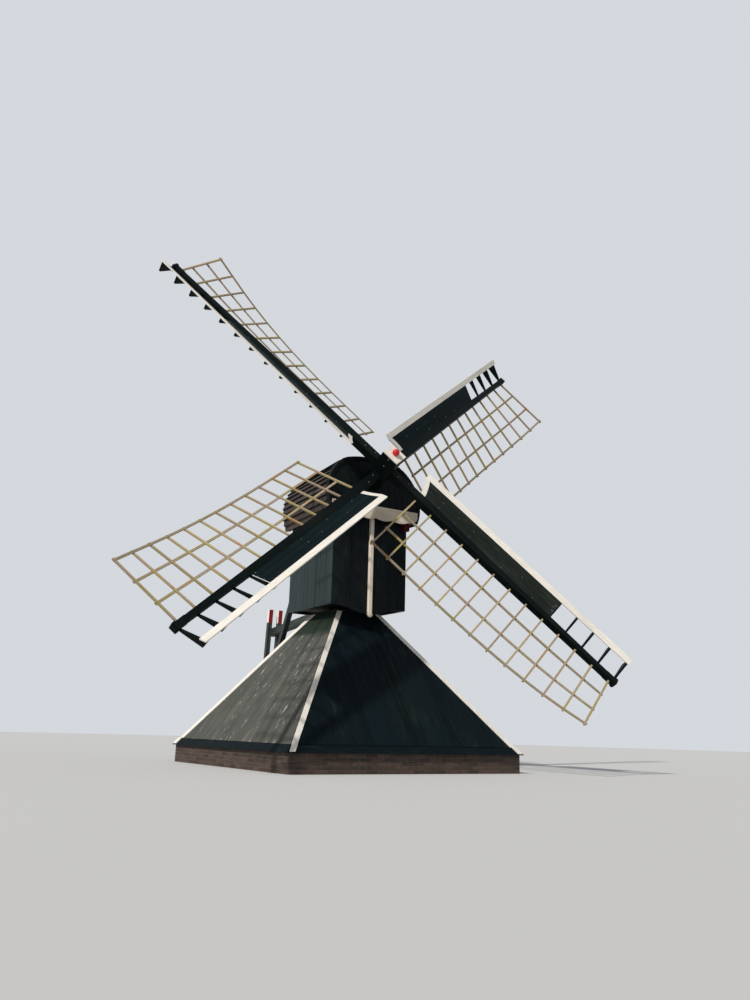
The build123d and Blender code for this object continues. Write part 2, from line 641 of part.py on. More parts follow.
def rotor_pieces():
    """Windshaft, stocks and the four sails."""
    turns = {name: -SAIL_ANGLE - 90 * index for index, name in enumerate("1234")}
    depth = {name: STOCK_MID_Z + (STOCK_OFFSET if name in "24" else -STOCK_OFFSET) for name in turns}
    shaft, pieces = shaft_pieces(turns["1"])
    for name, first in (("stock_front", "1"), ("stock_back", "2")):
        z, place = depth[first], Rot(0, 0, turns[first])
        whole = stock(z)
        shaft -= place * whole
        pieces[name] = place * (whole - bars(z) - [Rot(0, 0, 180) * bar for bar in bars(z)])
    pieces["windshaft"] = shaft
    plates, ends = [], []
    for name, turn in turns.items():
        z, place = depth[name], Rot(0, 0, turn)
        pieces[f"sail_lattice_{name}"] = place * lattice(z)
        pieces[f"wind_boards_{name}"] = place * wind_boards(z)
        pieces[f"lead_board_{name}"] = place * lead_board(z)
        ends.append(place * (end_board(z) - stock(z)))
        plates += [place * plate for plate in brackets(z)]
    pieces["lead_end_boards"] = Compound(children=ends)
    pieces["sail_brackets"] = Compound(children=plates)
    return {name: on_shaft(shape) for name, shape in pieces.items()}


def main():
    """Build every piece and write one file for each."""
    os.makedirs("parts", exist_ok=True)
    base = {name: Rot(0, 0, BASE_TURN) * shape for name, shape in {**base_pieces(), **post_pieces()}.items()}
    house = {**house_pieces(), **roof_pieces(), **eaves_pieces(), **bearing_beams(), **tail_pieces(),
             "valance": valance(), "centre_post": centre_post()}
    for name, shape in {**base, **house, **rotor_pieces()}.items():
        export_step(shape, f"parts/{name}.step")


main()
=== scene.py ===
"""A small hollow-post drainage windmill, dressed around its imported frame.

Metres, +Z up. The sails face -Y, and the origin is on the turning axis at ground level.
"""
import logging
import math
import random
from dataclasses import dataclass, field
from enum import Enum
from typing import Iterable, Sequence

import bmesh
import bpy
from mathutils import Matrix, Vector


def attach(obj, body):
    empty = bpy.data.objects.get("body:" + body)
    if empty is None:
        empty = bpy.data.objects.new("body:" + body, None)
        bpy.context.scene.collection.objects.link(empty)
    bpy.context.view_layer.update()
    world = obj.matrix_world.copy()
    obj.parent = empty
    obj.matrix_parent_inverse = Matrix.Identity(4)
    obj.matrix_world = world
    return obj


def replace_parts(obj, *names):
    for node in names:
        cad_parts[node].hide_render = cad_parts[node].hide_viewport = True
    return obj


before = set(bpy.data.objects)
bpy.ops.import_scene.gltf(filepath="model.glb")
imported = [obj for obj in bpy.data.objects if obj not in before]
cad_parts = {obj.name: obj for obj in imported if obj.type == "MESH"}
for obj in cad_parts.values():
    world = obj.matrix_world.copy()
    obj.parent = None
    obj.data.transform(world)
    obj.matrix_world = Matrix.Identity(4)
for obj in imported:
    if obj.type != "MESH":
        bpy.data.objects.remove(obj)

log = logging.getLogger("windmill")

Triple = tuple[float, float, float]
Colour = Triple
Point = tuple[float, float]

BASE_TURN = 2.4            # degrees that the base is turned to the upper house
SHAFT_TILT = 25.8          # degrees
HUB = Vector((0.0, -1.24, 5.2))
SAIL_TURNS = {"1": 48.4, "2": -41.6, "3": -131.6, "4": -221.6}     # degrees about the shaft
X_AXIS, Y_AXIS, Z_AXIS = Vector((1, 0, 0)), Vector((0, 1, 0)), Vector((0, 0, 1))
CORNERS = ((-1, -1), (1, -1), (1, 1), (-1, 1))     # corners of a square in turn
# dark green for the top of the left base face under the house: moss, and painted shade of the house
MOSS_AND_SHADE = (0.012, 0.022, 0.013)
RAGGED = 0.25              # how far the dark green of moss and painted shade runs down the grain, in metres
GAP = 0.002                # between pieces that meet
LIFT = 0.001               # of a piece off the face that it lies on, or into it
EDGE = 0.002               # bevel of a board's edges


class Body(Enum):
    """The bodies of the frame."""

    BASE = "base"
    HOUSE = "upper_house"
    ROTOR = "rotor"


class Side(Enum):
    """Sides of the boarded base, as quarter turns from the front."""

    FRONT = 0
    RIGHT = 1
    BACK = 2
    LEFT = 3


class Nodes:
    """Short calls for the shader nodes that the finishes use."""

    def __init__(self, name: str) -> None:
        """Start an empty material.

        Args:
            name: the material's name.
        """
        self.material = bpy.data.materials.new(name)
        self.material.use_nodes = True
        self.tree = self.material.node_tree
        self.shader = self.tree.nodes["Principled BSDF"]

    def add(self, kind: str, inputs: dict[str, object] | None = None, **settings: object) -> bpy.types.Node:
        """Add a node.

        Args:
            kind: the node's type name.
            inputs: values or sockets for its inputs, by name or by number.
            settings: its other settings.

        Returns:
            The new node.
        """
        node = self.tree.nodes.new(kind)
        for key, value in settings.items():
            setattr(node, key, value)
        for key, value in (inputs or {}).items():
            socket = node.inputs[key]
            if isinstance(value, bpy.types.NodeSocket):
                self.tree.links.new(value, socket)
            else:
                socket.default_value = value
        return node

    def place(self, along: Vector, scale: Sequence[float]) -> bpy.types.NodeSocket:
        """Coordinates on the piece with Z turned along the grain, then scaled.

        Args:
            along: direction of the grain.
            scale: factors across, across and along the grain.

        Returns:
            The socket with the coordinates.
        """
        coords = self.add("ShaderNodeTexCoord").outputs["Object"]
        turn = along.rotation_difference(Z_AXIS).to_euler()
        turned = self.add("ShaderNodeMapping", {"Vector": coords, "Rotation": turn}).outputs[0]
        return self.add("ShaderNodeMapping", {"Vector": turned, "Scale": scale}).outputs[0]

    def measure(self, output: str, axis: int) -> bpy.types.NodeSocket:
        """One coordinate of a place on the piece, or of its face's direction."""
        place = self.add("ShaderNodeTexCoord").outputs[output]
        return self.add("ShaderNodeSeparateXYZ", {0: place}).outputs[axis]

    def noise(self, vector: bpy.types.NodeSocket, scale: float, detail: float = 4.0,
              rough: float = 0.6) -> bpy.types.NodeSocket:
        """Noise value from 0 to 1."""
        return self.add("ShaderNodeTexNoise", {
            "Vector": vector, "Scale": scale, "Detail": detail, "Roughness": rough}).outputs["Fac"]

    def between(self, value: bpy.types.NodeSocket, low: float, high: float,
                to_low: float = 0.0, to_high: float = 1.0) -> bpy.types.NodeSocket:
        """Smooth step of a value between two limits, to two others.

        Args:
            value: the value that is stepped.
            low: where the step starts.
            high: where it ends.
            to_low: result below the step.
            to_high: result above it.

        Returns:
            The socket with the result.
        """
        return self.add("ShaderNodeMapRange", {
            "Value": value, "From Min": low, "From Max": high, "To Min": to_low, "To Max": to_high},
            interpolation_type="SMOOTHSTEP").outputs[0]

    def maths(self, operation: str, *values: object) -> bpy.types.NodeSocket:
        """Result of a math node."""
        return self.add("ShaderNodeMath", dict(enumerate(values)), operation=operation).outputs[0]

    def mix(self, share: object, first: object, second: object) -> bpy.types.NodeSocket:
        """Mix of two colours.

        Args:
            share: share of the second colour, as a number or a socket.
            first: the first colour.
            second: the second colour.

        Returns:
            The socket with the mixed colour.
        """
        node = self.add("ShaderNodeMix", data_type="RGBA")
        for index, value in ((0, share), (6, first), (7, second)):
            if isinstance(value, bpy.types.NodeSocket):
                self.tree.links.new(value, node.inputs[index])
            else:
                node.inputs[index].default_value = value if index == 0 else (*value, 1.0)
        return node.outputs[2]

    def connect(self, name: str, socket: bpy.types.NodeSocket) -> None:
        """Link a socket to an input of the main shader."""
        self.tree.links.new(socket, self.shader.inputs[name])

    def toned(self, colour: bpy.types.NodeSocket, tones: float, fine: object = 1.0) -> None:
        """Colour the surface, lighter or darker by the tone of each board or brick.

        Args:
            colour: the colour at an even tone.
            tones: how much one board differs from the next.
            fine: a further factor, as a number or a socket.
        """
        tone = self.add("ShaderNodeAttribute", attribute_name="tone").outputs["Fac"]
        scale = self.maths("MULTIPLY", self.maths("MULTIPLY_ADD", tone, tones, 1.0), fine)
        node = self.add("ShaderNodeVectorMath", {0: colour, "Scale": scale}, operation="SCALE")
        self.connect("Base Color", node.outputs[0])

    def bump(self, height: bpy.types.NodeSocket, strength: float, depth: float = 0.003) -> None:
        """Raise the surface by a value."""
        node = self.add("ShaderNodeBump", {"Height": height, "Strength": strength, "Distance": depth})
        self.connect("Normal", node.outputs[0])


@dataclass(frozen=True)
class WoodFinish:
    """Painted, tarred or bare wood."""

    name: str
    colour: Colour
    worn: Colour
    wear: float = 0.35          # share of the surface in the worn colour
    roughness: float = 0.62
    grain: float = 55.0         # grain marks per metre across the grain
    stretch: float = 14.0       # how much longer than wide a mark is
    relief: float = 0.25
    tones: float = 0.22         # how much one board differs from the next
    shine: float = 0.4
    streak: Colour | None = None
    streaks: float = 0.0        # share of the surface under streaks
    streak_size: Point = (17.0, 0.09)   # marks per metre across, and how short one is along the grain

    def build(self, along: Vector = Z_AXIS, suffix: str = "",
              moss_and_shade_heights: Point | None = None) -> bpy.types.Material:
        """Make the material.

        Args:
            along: direction of the grain.
            suffix: ending of the name where one finish has several directions.
            moss_and_shade_heights: heights between which the wood turns dark and green upwards, as moss and painted
                shade.

        Returns:
            The material, made once for each name.
        """
        name = f"finish_{self.name}{suffix}"
        if name in bpy.data.materials:
            return bpy.data.materials[name]
        nodes = Nodes(name)
        plain = nodes.place(along, (1.0, 1.0, 0.45))
        grain = nodes.noise(nodes.place(along, (1.0, 1.0, 1.0 / self.stretch)), self.grain, 5.0)
        patches = nodes.noise(plain, 2.3, 5.0, 0.65)
        worn = nodes.maths("MULTIPLY_ADD", patches, 0.65, nodes.maths("MULTIPLY", grain, 0.35))
        # The noise lies close about 0.5, so that the limits of each step do too
        middle = 0.5 + 0.22 * (0.5 - self.wear)
        colour = nodes.mix(nodes.between(worn, middle - 0.07, middle + 0.09), self.colour, self.worn)
        if self.streak:
            across, short = self.streak_size
            marks = nodes.noise(nodes.place(along, (1.0, 1.0, short)), across, 3.0, 0.5)
            limit = 0.74 - 0.3 * self.streaks
            share = nodes.maths("MULTIPLY", nodes.between(marks, limit, limit + 0.05),
                                nodes.between(nodes.noise(plain, 1.1, 2.0), 0.4, 0.6))
            colour = nodes.mix(share, colour, self.streak)
        # darker and greener towards the top: moss, and painted shade
        if moss_and_shade_heights:
            low, high = (height + RAGGED / 2 for height in moss_and_shade_heights)
            ragged = nodes.maths("MULTIPLY_ADD", grain, RAGGED, nodes.measure("Object", 2))
            colour = nodes.mix(nodes.between(ragged, low, high), colour, MOSS_AND_SHADE)
        nodes.toned(colour, self.tones, nodes.between(grain, 0.3, 0.7, 0.86, 1.1))
        nodes.connect("Roughness", nodes.between(worn, 0.3, 0.7, self.roughness - 0.1, self.roughness + 0.12))
        nodes.shader.inputs["Specular IOR Level"].default_value = self.shine
        nodes.bump(grain, self.relief)
        return nodes.material


TAR_WEATHERED = WoodFinish("tar_weathered", (0.071, 0.074, 0.067), (0.101, 0.102, 0.092), 0.45, 0.75,
                           tones=0.10, shine=0.2, streak=(0.66, 0.66, 0.64), streaks=0.31, streak_size=(30.0, 0.16))
TAR_DARK = WoodFinish("tar_dark", (0.0036, 0.0082, 0.0110), (0.0078, 0.0135, 0.0145), 0.3, 0.6, shine=0.04,
                      streak=(0.013, 0.020, 0.017), streaks=0.45)
GREEN_BOARDS = WoodFinish("green_boards", (0.0045, 0.0075, 0.0090), (0.0095, 0.0140, 0.0150), 0.4, 0.5, shine=0.08)
GABLE_BOARDS = WoodFinish("gable_boards", (0.0030, 0.0060, 0.0070), (0.0075, 0.0120, 0.0115), 0.3, 0.55,
                          shine=0.08, streak=(0.030, 0.045, 0.036), streaks=0.25, streak_size=(60.0, 0.3))
# lighter copy of the green boards for the sunlit left wall: partly weathering, partly painted sheen
SIDE_WEATHER_AND_SHEEN = WoodFinish("side_weather_and_sheen", (0.020, 0.033, 0.036), (0.031, 0.044, 0.046), 0.4, 0.55, shine=0.15,
                         tones=0.14)
STOCK_PAINT = WoodFinish("stock_paint", (0.0025, 0.0055, 0.0055), (0.0060, 0.0100, 0.0092), 0.3, 0.5, shine=0.05)
WIND_PAINT = WoodFinish("wind_paint", (0.0022, 0.0072, 0.0090), (0.0050, 0.0120, 0.0130), 0.35, 0.5, shine=0.05,
                        tones=0.12)
# lighter copy of the wind paint for the sail that the sun lights at a grazing angle: painted light
WIND_PAINTED_LIT = WoodFinish("wind_painted_lit", (0.0135, 0.0185, 0.0160), (0.0250, 0.0300, 0.0260), 0.4, 0.55, shine=0.08,
                       tones=0.12)
WHITE_PAINT = WoodFinish("white_paint", (0.86, 0.825, 0.765), (0.71, 0.68, 0.62), 0.20, 0.5, relief=0.12,
                         tones=0.05)
POST_PAINT = WoodFinish("post_paint", (0.83, 0.74, 0.63), (0.64, 0.57, 0.49), 0.25, 0.5, relief=0.12)
CREAM_PAINT = WoodFinish("cream_paint", (0.78, 0.69, 0.56), (0.60, 0.53, 0.43), 0.4, 0.55, relief=0.15)
SAIL_WOOD = WoodFinish("sail_wood", (0.385, 0.335, 0.135), (0.40, 0.305, 0.220), 0.62, 0.7, grain=30.0,
                       stretch=1.0, tones=0.16, shine=0.15, streak=(0.46, 0.215, 0.075), streaks=0.42,
                       streak_size=(5.0, 1.0))
LATH_WOOD = WoodFinish("lath_wood", (0.30, 0.255, 0.120), (0.33, 0.265, 0.205), 0.6, 0.7, grain=30.0,
                       stretch=1.0, tones=0.16, shine=0.15, streak=(0.42, 0.200, 0.075), streaks=0.48,
                       streak_size=(5.0, 1.0))
ROOF_WOOD = WoodFinish("roof_wood", (0.036, 0.027, 0.024), (0.068, 0.052, 0.045), 0.45, 0.7, shine=0.2, tones=0.3)
# near-black painted shade for the lower edges of the roof boards and for the shell between them
ROOF_PAINTED_SHADE = WoodFinish("roof_painted_shade", (0.006, 0.006, 0.007), (0.013, 0.011, 0.011), 0.3, 0.75, shine=0.06)
RED_PAINT = WoodFinish("red_paint", (0.42, 0.010, 0.014), (0.26, 0.008, 0.011), 0.35, 0.45, relief=0.1)
# the red darkened as painted shade, for the blocks under the eaves
RED_SHADE = WoodFinish("red_in_shade", (0.090, 0.007, 0.008), (0.055, 0.006, 0.006), 0.4, 0.6, relief=0.1, shine=0.1)
# near-black painted shade for the soffit under the gable
SOFFIT_PAINTED_SHADE = WoodFinish("soffit_painted_shade", (0.020, 0.006, 0.006), (0.035, 0.010, 0.010), 0.35, 0.6, shine=0.15)
RED_KNOB = WoodFinish("red_knob", (0.60, 0.008, 0.009), (0.48, 0.006, 0.007), 0.25, 0.3, relief=0.05)
TAIL_PAINT = WoodFinish("tail_paint", (0.022, 0.032, 0.028), (0.060, 0.072, 0.064), 0.4, 0.65, shine=0.2)
PLAIN_TIMBER = WoodFinish("plain_timber", (0.16, 0.115, 0.07), (0.11, 0.08, 0.05), 0.4, 0.7)
DARK_TIMBER = WoodFinish("dark_timber", (0.0065, 0.0085, 0.0062), (0.0130, 0.0140, 0.0105), 0.4, 0.6, shine=0.08)
BOLT = WoodFinish("bare_bolts", (0.13, 0.145, 0.135), (0.06, 0.066, 0.060), 0.4, 0.45, grain=150.0, stretch=1.0,
                  relief=0.1)


@dataclass(frozen=True)
class StoneFinish:
    """Brick or mortar: gritty, blotched and no grain."""

    name: str
    colour: Colour
    second: Colour
    roughness: float = 0.88
    relief: float = 0.5
    tones: float = 0.4

    def build(self) -> bpy.types.Material:
        """Make the material.

        Returns:
            The material.
        """
        nodes = Nodes(f"finish_{self.name}")
        place = nodes.place(Z_AXIS, (1.0, 1.0, 1.0))
        blotch = nodes.between(nodes.noise(place, 14.0, 5.0, 0.7), 0.35, 0.65)
        nodes.toned(nodes.mix(blotch, self.colour, self.second), self.tones)
        nodes.shader.inputs["Roughness"].default_value = self.roughness
        nodes.bump(nodes.noise(place, 260.0, 3.0), self.relief, 0.002)
        return nodes.material


BRICK = StoneFinish("brick", (0.075, 0.042, 0.030), (0.048, 0.033, 0.027))
MORTAR = StoneFinish("mortar", (0.105, 0.095, 0.082), (0.070, 0.064, 0.056))


def put(name: str, data: bpy.types.ID) -> bpy.types.Object:
    """New object in the scene.

    Args:
        name: the object's name.
        data: its mesh, camera or lamp.

    Returns:
        The object.
    """
    thing = bpy.data.objects.new(name, data)
    bpy.context.scene.collection.objects.link(thing)
    return thing


class Joined:
    """One mesh joined from many closed pieces, each with a tone of its own."""

    def __init__(self, name: str, body: Body, slot: str) -> None:
        """Start an empty mesh.

        Args:
            name: the piece's name.
            body: the body that it rides on.
            slot: the name of a material slot; it is stored but not used.
        """
        self.name, self.body, self.slot = name, body, slot
        self.bm = bmesh.new()
        self.tone = self.bm.faces.layers.float.new("tone")

    def through(self, rings: Sequence[Sequence[Vector]], tone: float = 0.0) -> None:
        """Closed piece through several rings of as many corners.

        Args:
            rings: the rings in order, of which the first and the last are its ends.
            tone: how light the piece is, from -1 to 1.
        """
        made = [[self.bm.verts.new(corner) for corner in ring] for ring in rings]
        faces = [made[0][::-1], made[-1]]
        for low, high in zip(made, made[1:]):
            faces += [[low[index - 1], low[index], high[index], high[index - 1]] for index in range(len(low))]
        for corners in faces:
            self.bm.faces.new(corners)[self.tone] = tone

    def prism(self, ring: Sequence[Vector], height: Vector, tone: float = 0.0) -> None:
        """Closed prism on a flat ring."""
        self.through([ring, [corner + height for corner in ring]], tone)

    def block(self, place: Matrix, size: Sequence[float], tone: float = 0.0) -> None:
        """Box about the middle of a frame.

        Args:
            place: the frame.
            size: lengths along the frame's X, Y and Z.
            tone: how light the piece is, from -1 to 1.
        """
        long, wide, high = (value / 2 for value in size)
        self.prism([place @ Vector((x * long, y * wide, -high)) for x, y in CORNERS],
                   place.to_3x3() @ (Z_AXIS * size[2]), tone)

    def lathe(self, place: Matrix, profile: Sequence[Point], steps: int = 32, tone: float = 0.0) -> None:
        """Turned piece: a profile of radius and height, closed at both ends.

        Args:
            place: frame with Z along the axis.
            profile: radius and height of each ring.
            steps: corners in a ring.
            tone: how light the piece is, from -1 to 1.
        """
        turns = [math.tau * step / steps for step in range(steps)]
        self.through([[place @ Vector((radius * math.cos(turn), radius * math.sin(turn), height))
                       for turn in turns] for radius, height in profile], tone)

    def done(self, material: bpy.types.Material, bevel: float = 0.0, smooth: bool = False) -> bpy.types.Object:
        """Close the mesh and put it in the scene.

        Args:
            material: its finish.
            bevel: width of the bevel on every edge.
            smooth: whether it is shaded smooth up to 40 degrees.

        Returns:
            The new object.
        """
        bmesh.ops.recalc_face_normals(self.bm, faces=self.bm.faces)
        if bevel:
            bmesh.ops.bevel(self.bm, geom=list(self.bm.edges), offset=bevel, segments=1, affect="EDGES",
                            clamp_overlap=True)
        mesh = bpy.data.meshes.new(self.name)
        self.bm.to_mesh(mesh)
        self.bm.free()
        mesh.materials.append(material)
        piece = put(self.name, mesh)
        if smooth:
            mesh.shade_smooth()
            mesh.set_sharp_from_angle(angle=math.radians(40))
        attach(piece, self.body.value)
        log.info("%s: %d faces on %s", self.name, len(mesh.polygons), self.body.value)
        return piece


def clip(outline: Sequence[Point], a: float, b: float, limit: float) -> list[Point]:
    """Part of a flat outline where a*u + b*v is no more than a limit.

    Args:
        outline: the outline's corners as (u, v).
        a: factor of u.
        b: factor of v.
        limit: the limit.

    Returns:
        The corners that are left, with new ones on the limit.
    """
    kept = []
    for index, here in enumerate(outline):
        before = outline[index - 1]
        inside, was = a * here[0] + b * here[1] - limit, a * before[0] + b * before[1] - limit
        if (inside <= 0) != (was <= 0):
            share = was / (was - inside)
            kept.append(tuple(before[axis] + (here[axis] - before[axis]) * share for axis in (0, 1)))
        if inside <= 0:
            kept.append(here)
    return kept


@dataclass
class BoardField:
    """Boards side by side on a flat face."""

    origin: Vector
    across: Vector
    along: Vector
    outline: list[Point]
    pitch: float
    thickness: float = 0.009
    gap: float = 0.005
    hole: tuple[Point, float] | None = None    # middle and radius of a round opening

    @property
    def out(self) -> Vector:
        """Direction out of the face."""
        return self.across.cross(self.along).normalized()

    def strips(self) -> Iterable[list[Point]]:
        """Outline of each board.

        Returns:
            The outlines, from one edge of the face to the other.
        """
        low, high = min(u for u, _ in self.outline), max(u for u, _ in self.outline)
        count = max(1, round((high - low) / self.pitch))
        width = (high - low) / count
        for index in range(count):
            left, right = low + index * width + self.gap / 2, low + (index + 1) * width - self.gap / 2
            board = clip(clip(self.outline, -1, 0, -left), 1, 0, right)
            if self.hole and left < self.hole[0][0] + self.hole[1] and right > self.hole[0][0] - self.hole[1]:
                yield from self.round_hole(board, left, right)
            elif len(board) > 2:
                yield board

    def round_hole(self, board: list[Point], left: float, right: float) -> Iterable[list[Point]]:
        """The two parts of a board above and below the round opening.

        Args:
            board: the board's outline.
            left: its left edge.
            right: its right edge.

        Returns:
            The outline of the upper part, then that of the lower one.
        """
        (mid_u, mid_v), radius = self.hole
        steps = 6
        us = [left + (right - left) * step / steps for step in range(steps + 1)]
        reach = [math.sqrt(max(0.0, radius ** 2 - (u - mid_u) ** 2)) for u in us]
        for sign in (-1, 1):
            part = clip(board, 0, sign, sign * mid_v)
            rest = sorted(corner for corner in part if sign * (mid_v - corner[1]) > 1e-6)
            arc = [(u, mid_v - sign * h) for u, h in zip(us, reach)]
            yield rest[::sign] + arc[::-sign]

    def lay(self, mesh: Joined, draw: random.Random) -> None:
        """Add every board to a mesh.

        Args:
            mesh: the joined mesh.
            draw: where the boards' tones come from.
        """
        for board in self.strips():
            ring = [self.origin + self.across * u + self.along * v for u, v in board]
            lift = self.thickness * draw.uniform(0.85, 1.15)
            mesh.prism(ring, self.out * lift, draw.uniform(-1, 1))


@dataclass
class Base:
    """Brick footing and boarded pyramid, which stand still."""

    half: float = 2.238                    # half the width of the boarded sides at their foot
    top_half: float = 0.45                 # and at their top
    foot: float = 0.30                     # height of their foot
    top: float = 2.68
    skirt: float = 0.11                    # height of the skirting
    hip: Triple = (0.086, 0.018, -0.001)   # width, thickness and how far past the corner
    hip_broad: float = 0.13                # width of the one on the left face, at the hip behind
    over_skirt: float = 0.022              # how far the hip boards stand off over the skirting
    skirt_steps: Point = (1.25, 1.3)       # where they come down to the slope, in heights of the skirting
    moss_and_shade_band: Point = (0.46, 0.38)             # depths under the top of the dark green band on the left side: moss, and painted shade under the house
    footing_half: float = 2.208
    brick: Triple = (0.21, 0.10, 0.05)
    brick_proud: float = 0.004             # past the footing's own face
    brick_least: float = 0.03              # length of the shortest piece of a brick
    joint: float = 0.01                    # of mortar
    board: Triple = (0.17, 0.008, 0.004)   # pitch, thickness and gap
    clear: Point = (0.003, 0.004)          # from the boards' ends to the skirting and to the top
    turn: Matrix = field(default_factory=lambda: Matrix.Rotation(math.radians(BASE_TURN), 4, "Z"))

    def side_turn(self, side: Side) -> Matrix:
        """Turn from the front to a side."""
        return self.turn @ Matrix.Rotation(math.radians(90 * side.value), 4, "Z")

    def up_slope(self) -> Vector:
        """Direction up the front side."""
        return Vector((0, self.half - self.top_half, self.top - self.foot)).normalized()

    @property
    def length(self) -> float:
        """Length of a side up its slope."""
        return math.hypot(self.half - self.top_half, self.top - self.foot)

    @property
    def lean(self) -> float:
        """How much nearer the middle an edge comes for each metre up the slope."""
        return (self.half - self.top_half) / self.length

    def boards(self, side: Side) -> None:
        """Lay the boards of one side.

        Args:
            side: the side.
        """
        turn = self.side_turn(side)
        foot, head = self.clear
        low, high = (self.skirt + foot) * self.length / (self.top - self.foot), self.length - head
        cover = self.hip[0] * math.hypot(1.0, self.lean) + GAP if side in (Side.FRONT, Side.BACK) else LIFT
        outline = [(sign * (self.half - cover - self.lean * rise), rise)
                   for sign, rise in ((-1, low), (1, low), (1, high), (-1, high))]
        along, name = turn.to_3x3() @ self.up_slope(), side.name.lower()
        mesh = Joined(f"base_{name}_boards", Body.BASE, "base_boards")
        BoardField(turn @ Vector((0, -self.half, self.foot)), turn.to_3x3() @ X_AXIS, along, outline,
                   *self.board).lay(mesh, random.Random(side.value))
        if side is Side.LEFT:
            # the left face turns dark green towards its top: moss, and painted shade under the house
            finish = TAR_WEATHERED.build(along, "_" + name, (self.top - self.moss_and_shade_band[0], self.top - self.moss_and_shade_band[1]))
        else:
            finish = TAR_DARK.build(along, "_" + name)
        mesh.done(finish, EDGE)
        paint(f"base_{name}_side", TAR_DARK.build(along, "_behind_" + name))

    def hips(self) -> None:
        """Lay a white board along every hip, and a broader one on the left face at the hip behind."""
        mesh, up = Joined("hip_boards_long", Body.BASE, "white_paint"), self.up_slope()
        slim, thick, past = self.hip
        out = X_AXIS.cross(up)
        near, far = (self.skirt * step for step in self.skirt_steps)
        for side, sign, width in ((Side.FRONT, -1, slim), (Side.FRONT, 1, slim), (Side.BACK, -1, slim),
                                  (Side.BACK, 1, slim), (Side.LEFT, -1, self.hip_broad)):
            rings = []
            for rise, lift in ((0.0, self.over_skirt), (near, self.over_skirt), (far, 0.0), (self.length, 0.0)):
                edge = self.half - self.lean * rise
                origin = Vector((0, -self.half, self.foot)) + up * rise
                inner, outer = edge - width * math.hypot(1.0, self.lean), edge + past
                spots = ((inner, LIFT), (outer, LIFT), (outer, thick), (inner, thick))
                rings.append([self.side_turn(side) @ (origin + X_AXIS * (sign * x) + out * (lift + height))
                              for x, height in spots])
            mesh.through(rings)
        piece = mesh.done(WHITE_PAINT.build(self.turn.to_3x3() @ up, "_hips"), EDGE)
        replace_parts(piece, "hip_boards")

    def bricks(self) -> None:
        """Lay the courses of the footing, each side starting flush at its left corner."""
        mesh, draw = Joined("footing_bricks", Body.BASE, "brick"), random.Random(11)
        length, depth, height = self.brick
        face, courses = self.footing_half + self.brick_proud, round(self.foot / (height + self.joint))
        for side in Side:
            turn = self.side_turn(side)
            for course in range(courses):
                z = course * (height + self.joint) + height / 2 + self.joint / 2
                start, end = -face, self.footing_half - depth
                first = length if course % 2 == 0 else (length - self.joint) / 2
                while start < end - self.brick_least:
                    run = min(first, end - start)
                    middle = Vector((start + run / 2, depth / 2 - face, z))
                    mesh.block(turn @ Matrix.Translation(middle), (run, depth, height), draw.uniform(-1, 1))
                    start += run + self.joint
                    first = length
        mesh.done(BRICK.build(), 0.003)
        paint("brick_footing", MORTAR.build())

    def dress(self) -> None:
        """Lay boards and bricks and paint what the frame holds."""
        for side in Side:
            self.boards(side)
        self.bricks()
        self.hips()
        paint("base_skirting", TAR_DARK.build(X_AXIS, "_skirting"))
        paint("post_collar", DARK_TIMBER.build())
        for name in ("cross_beams", "hollow_post", "hip_boards"):
            paint(name, PLAIN_TIMBER.build())


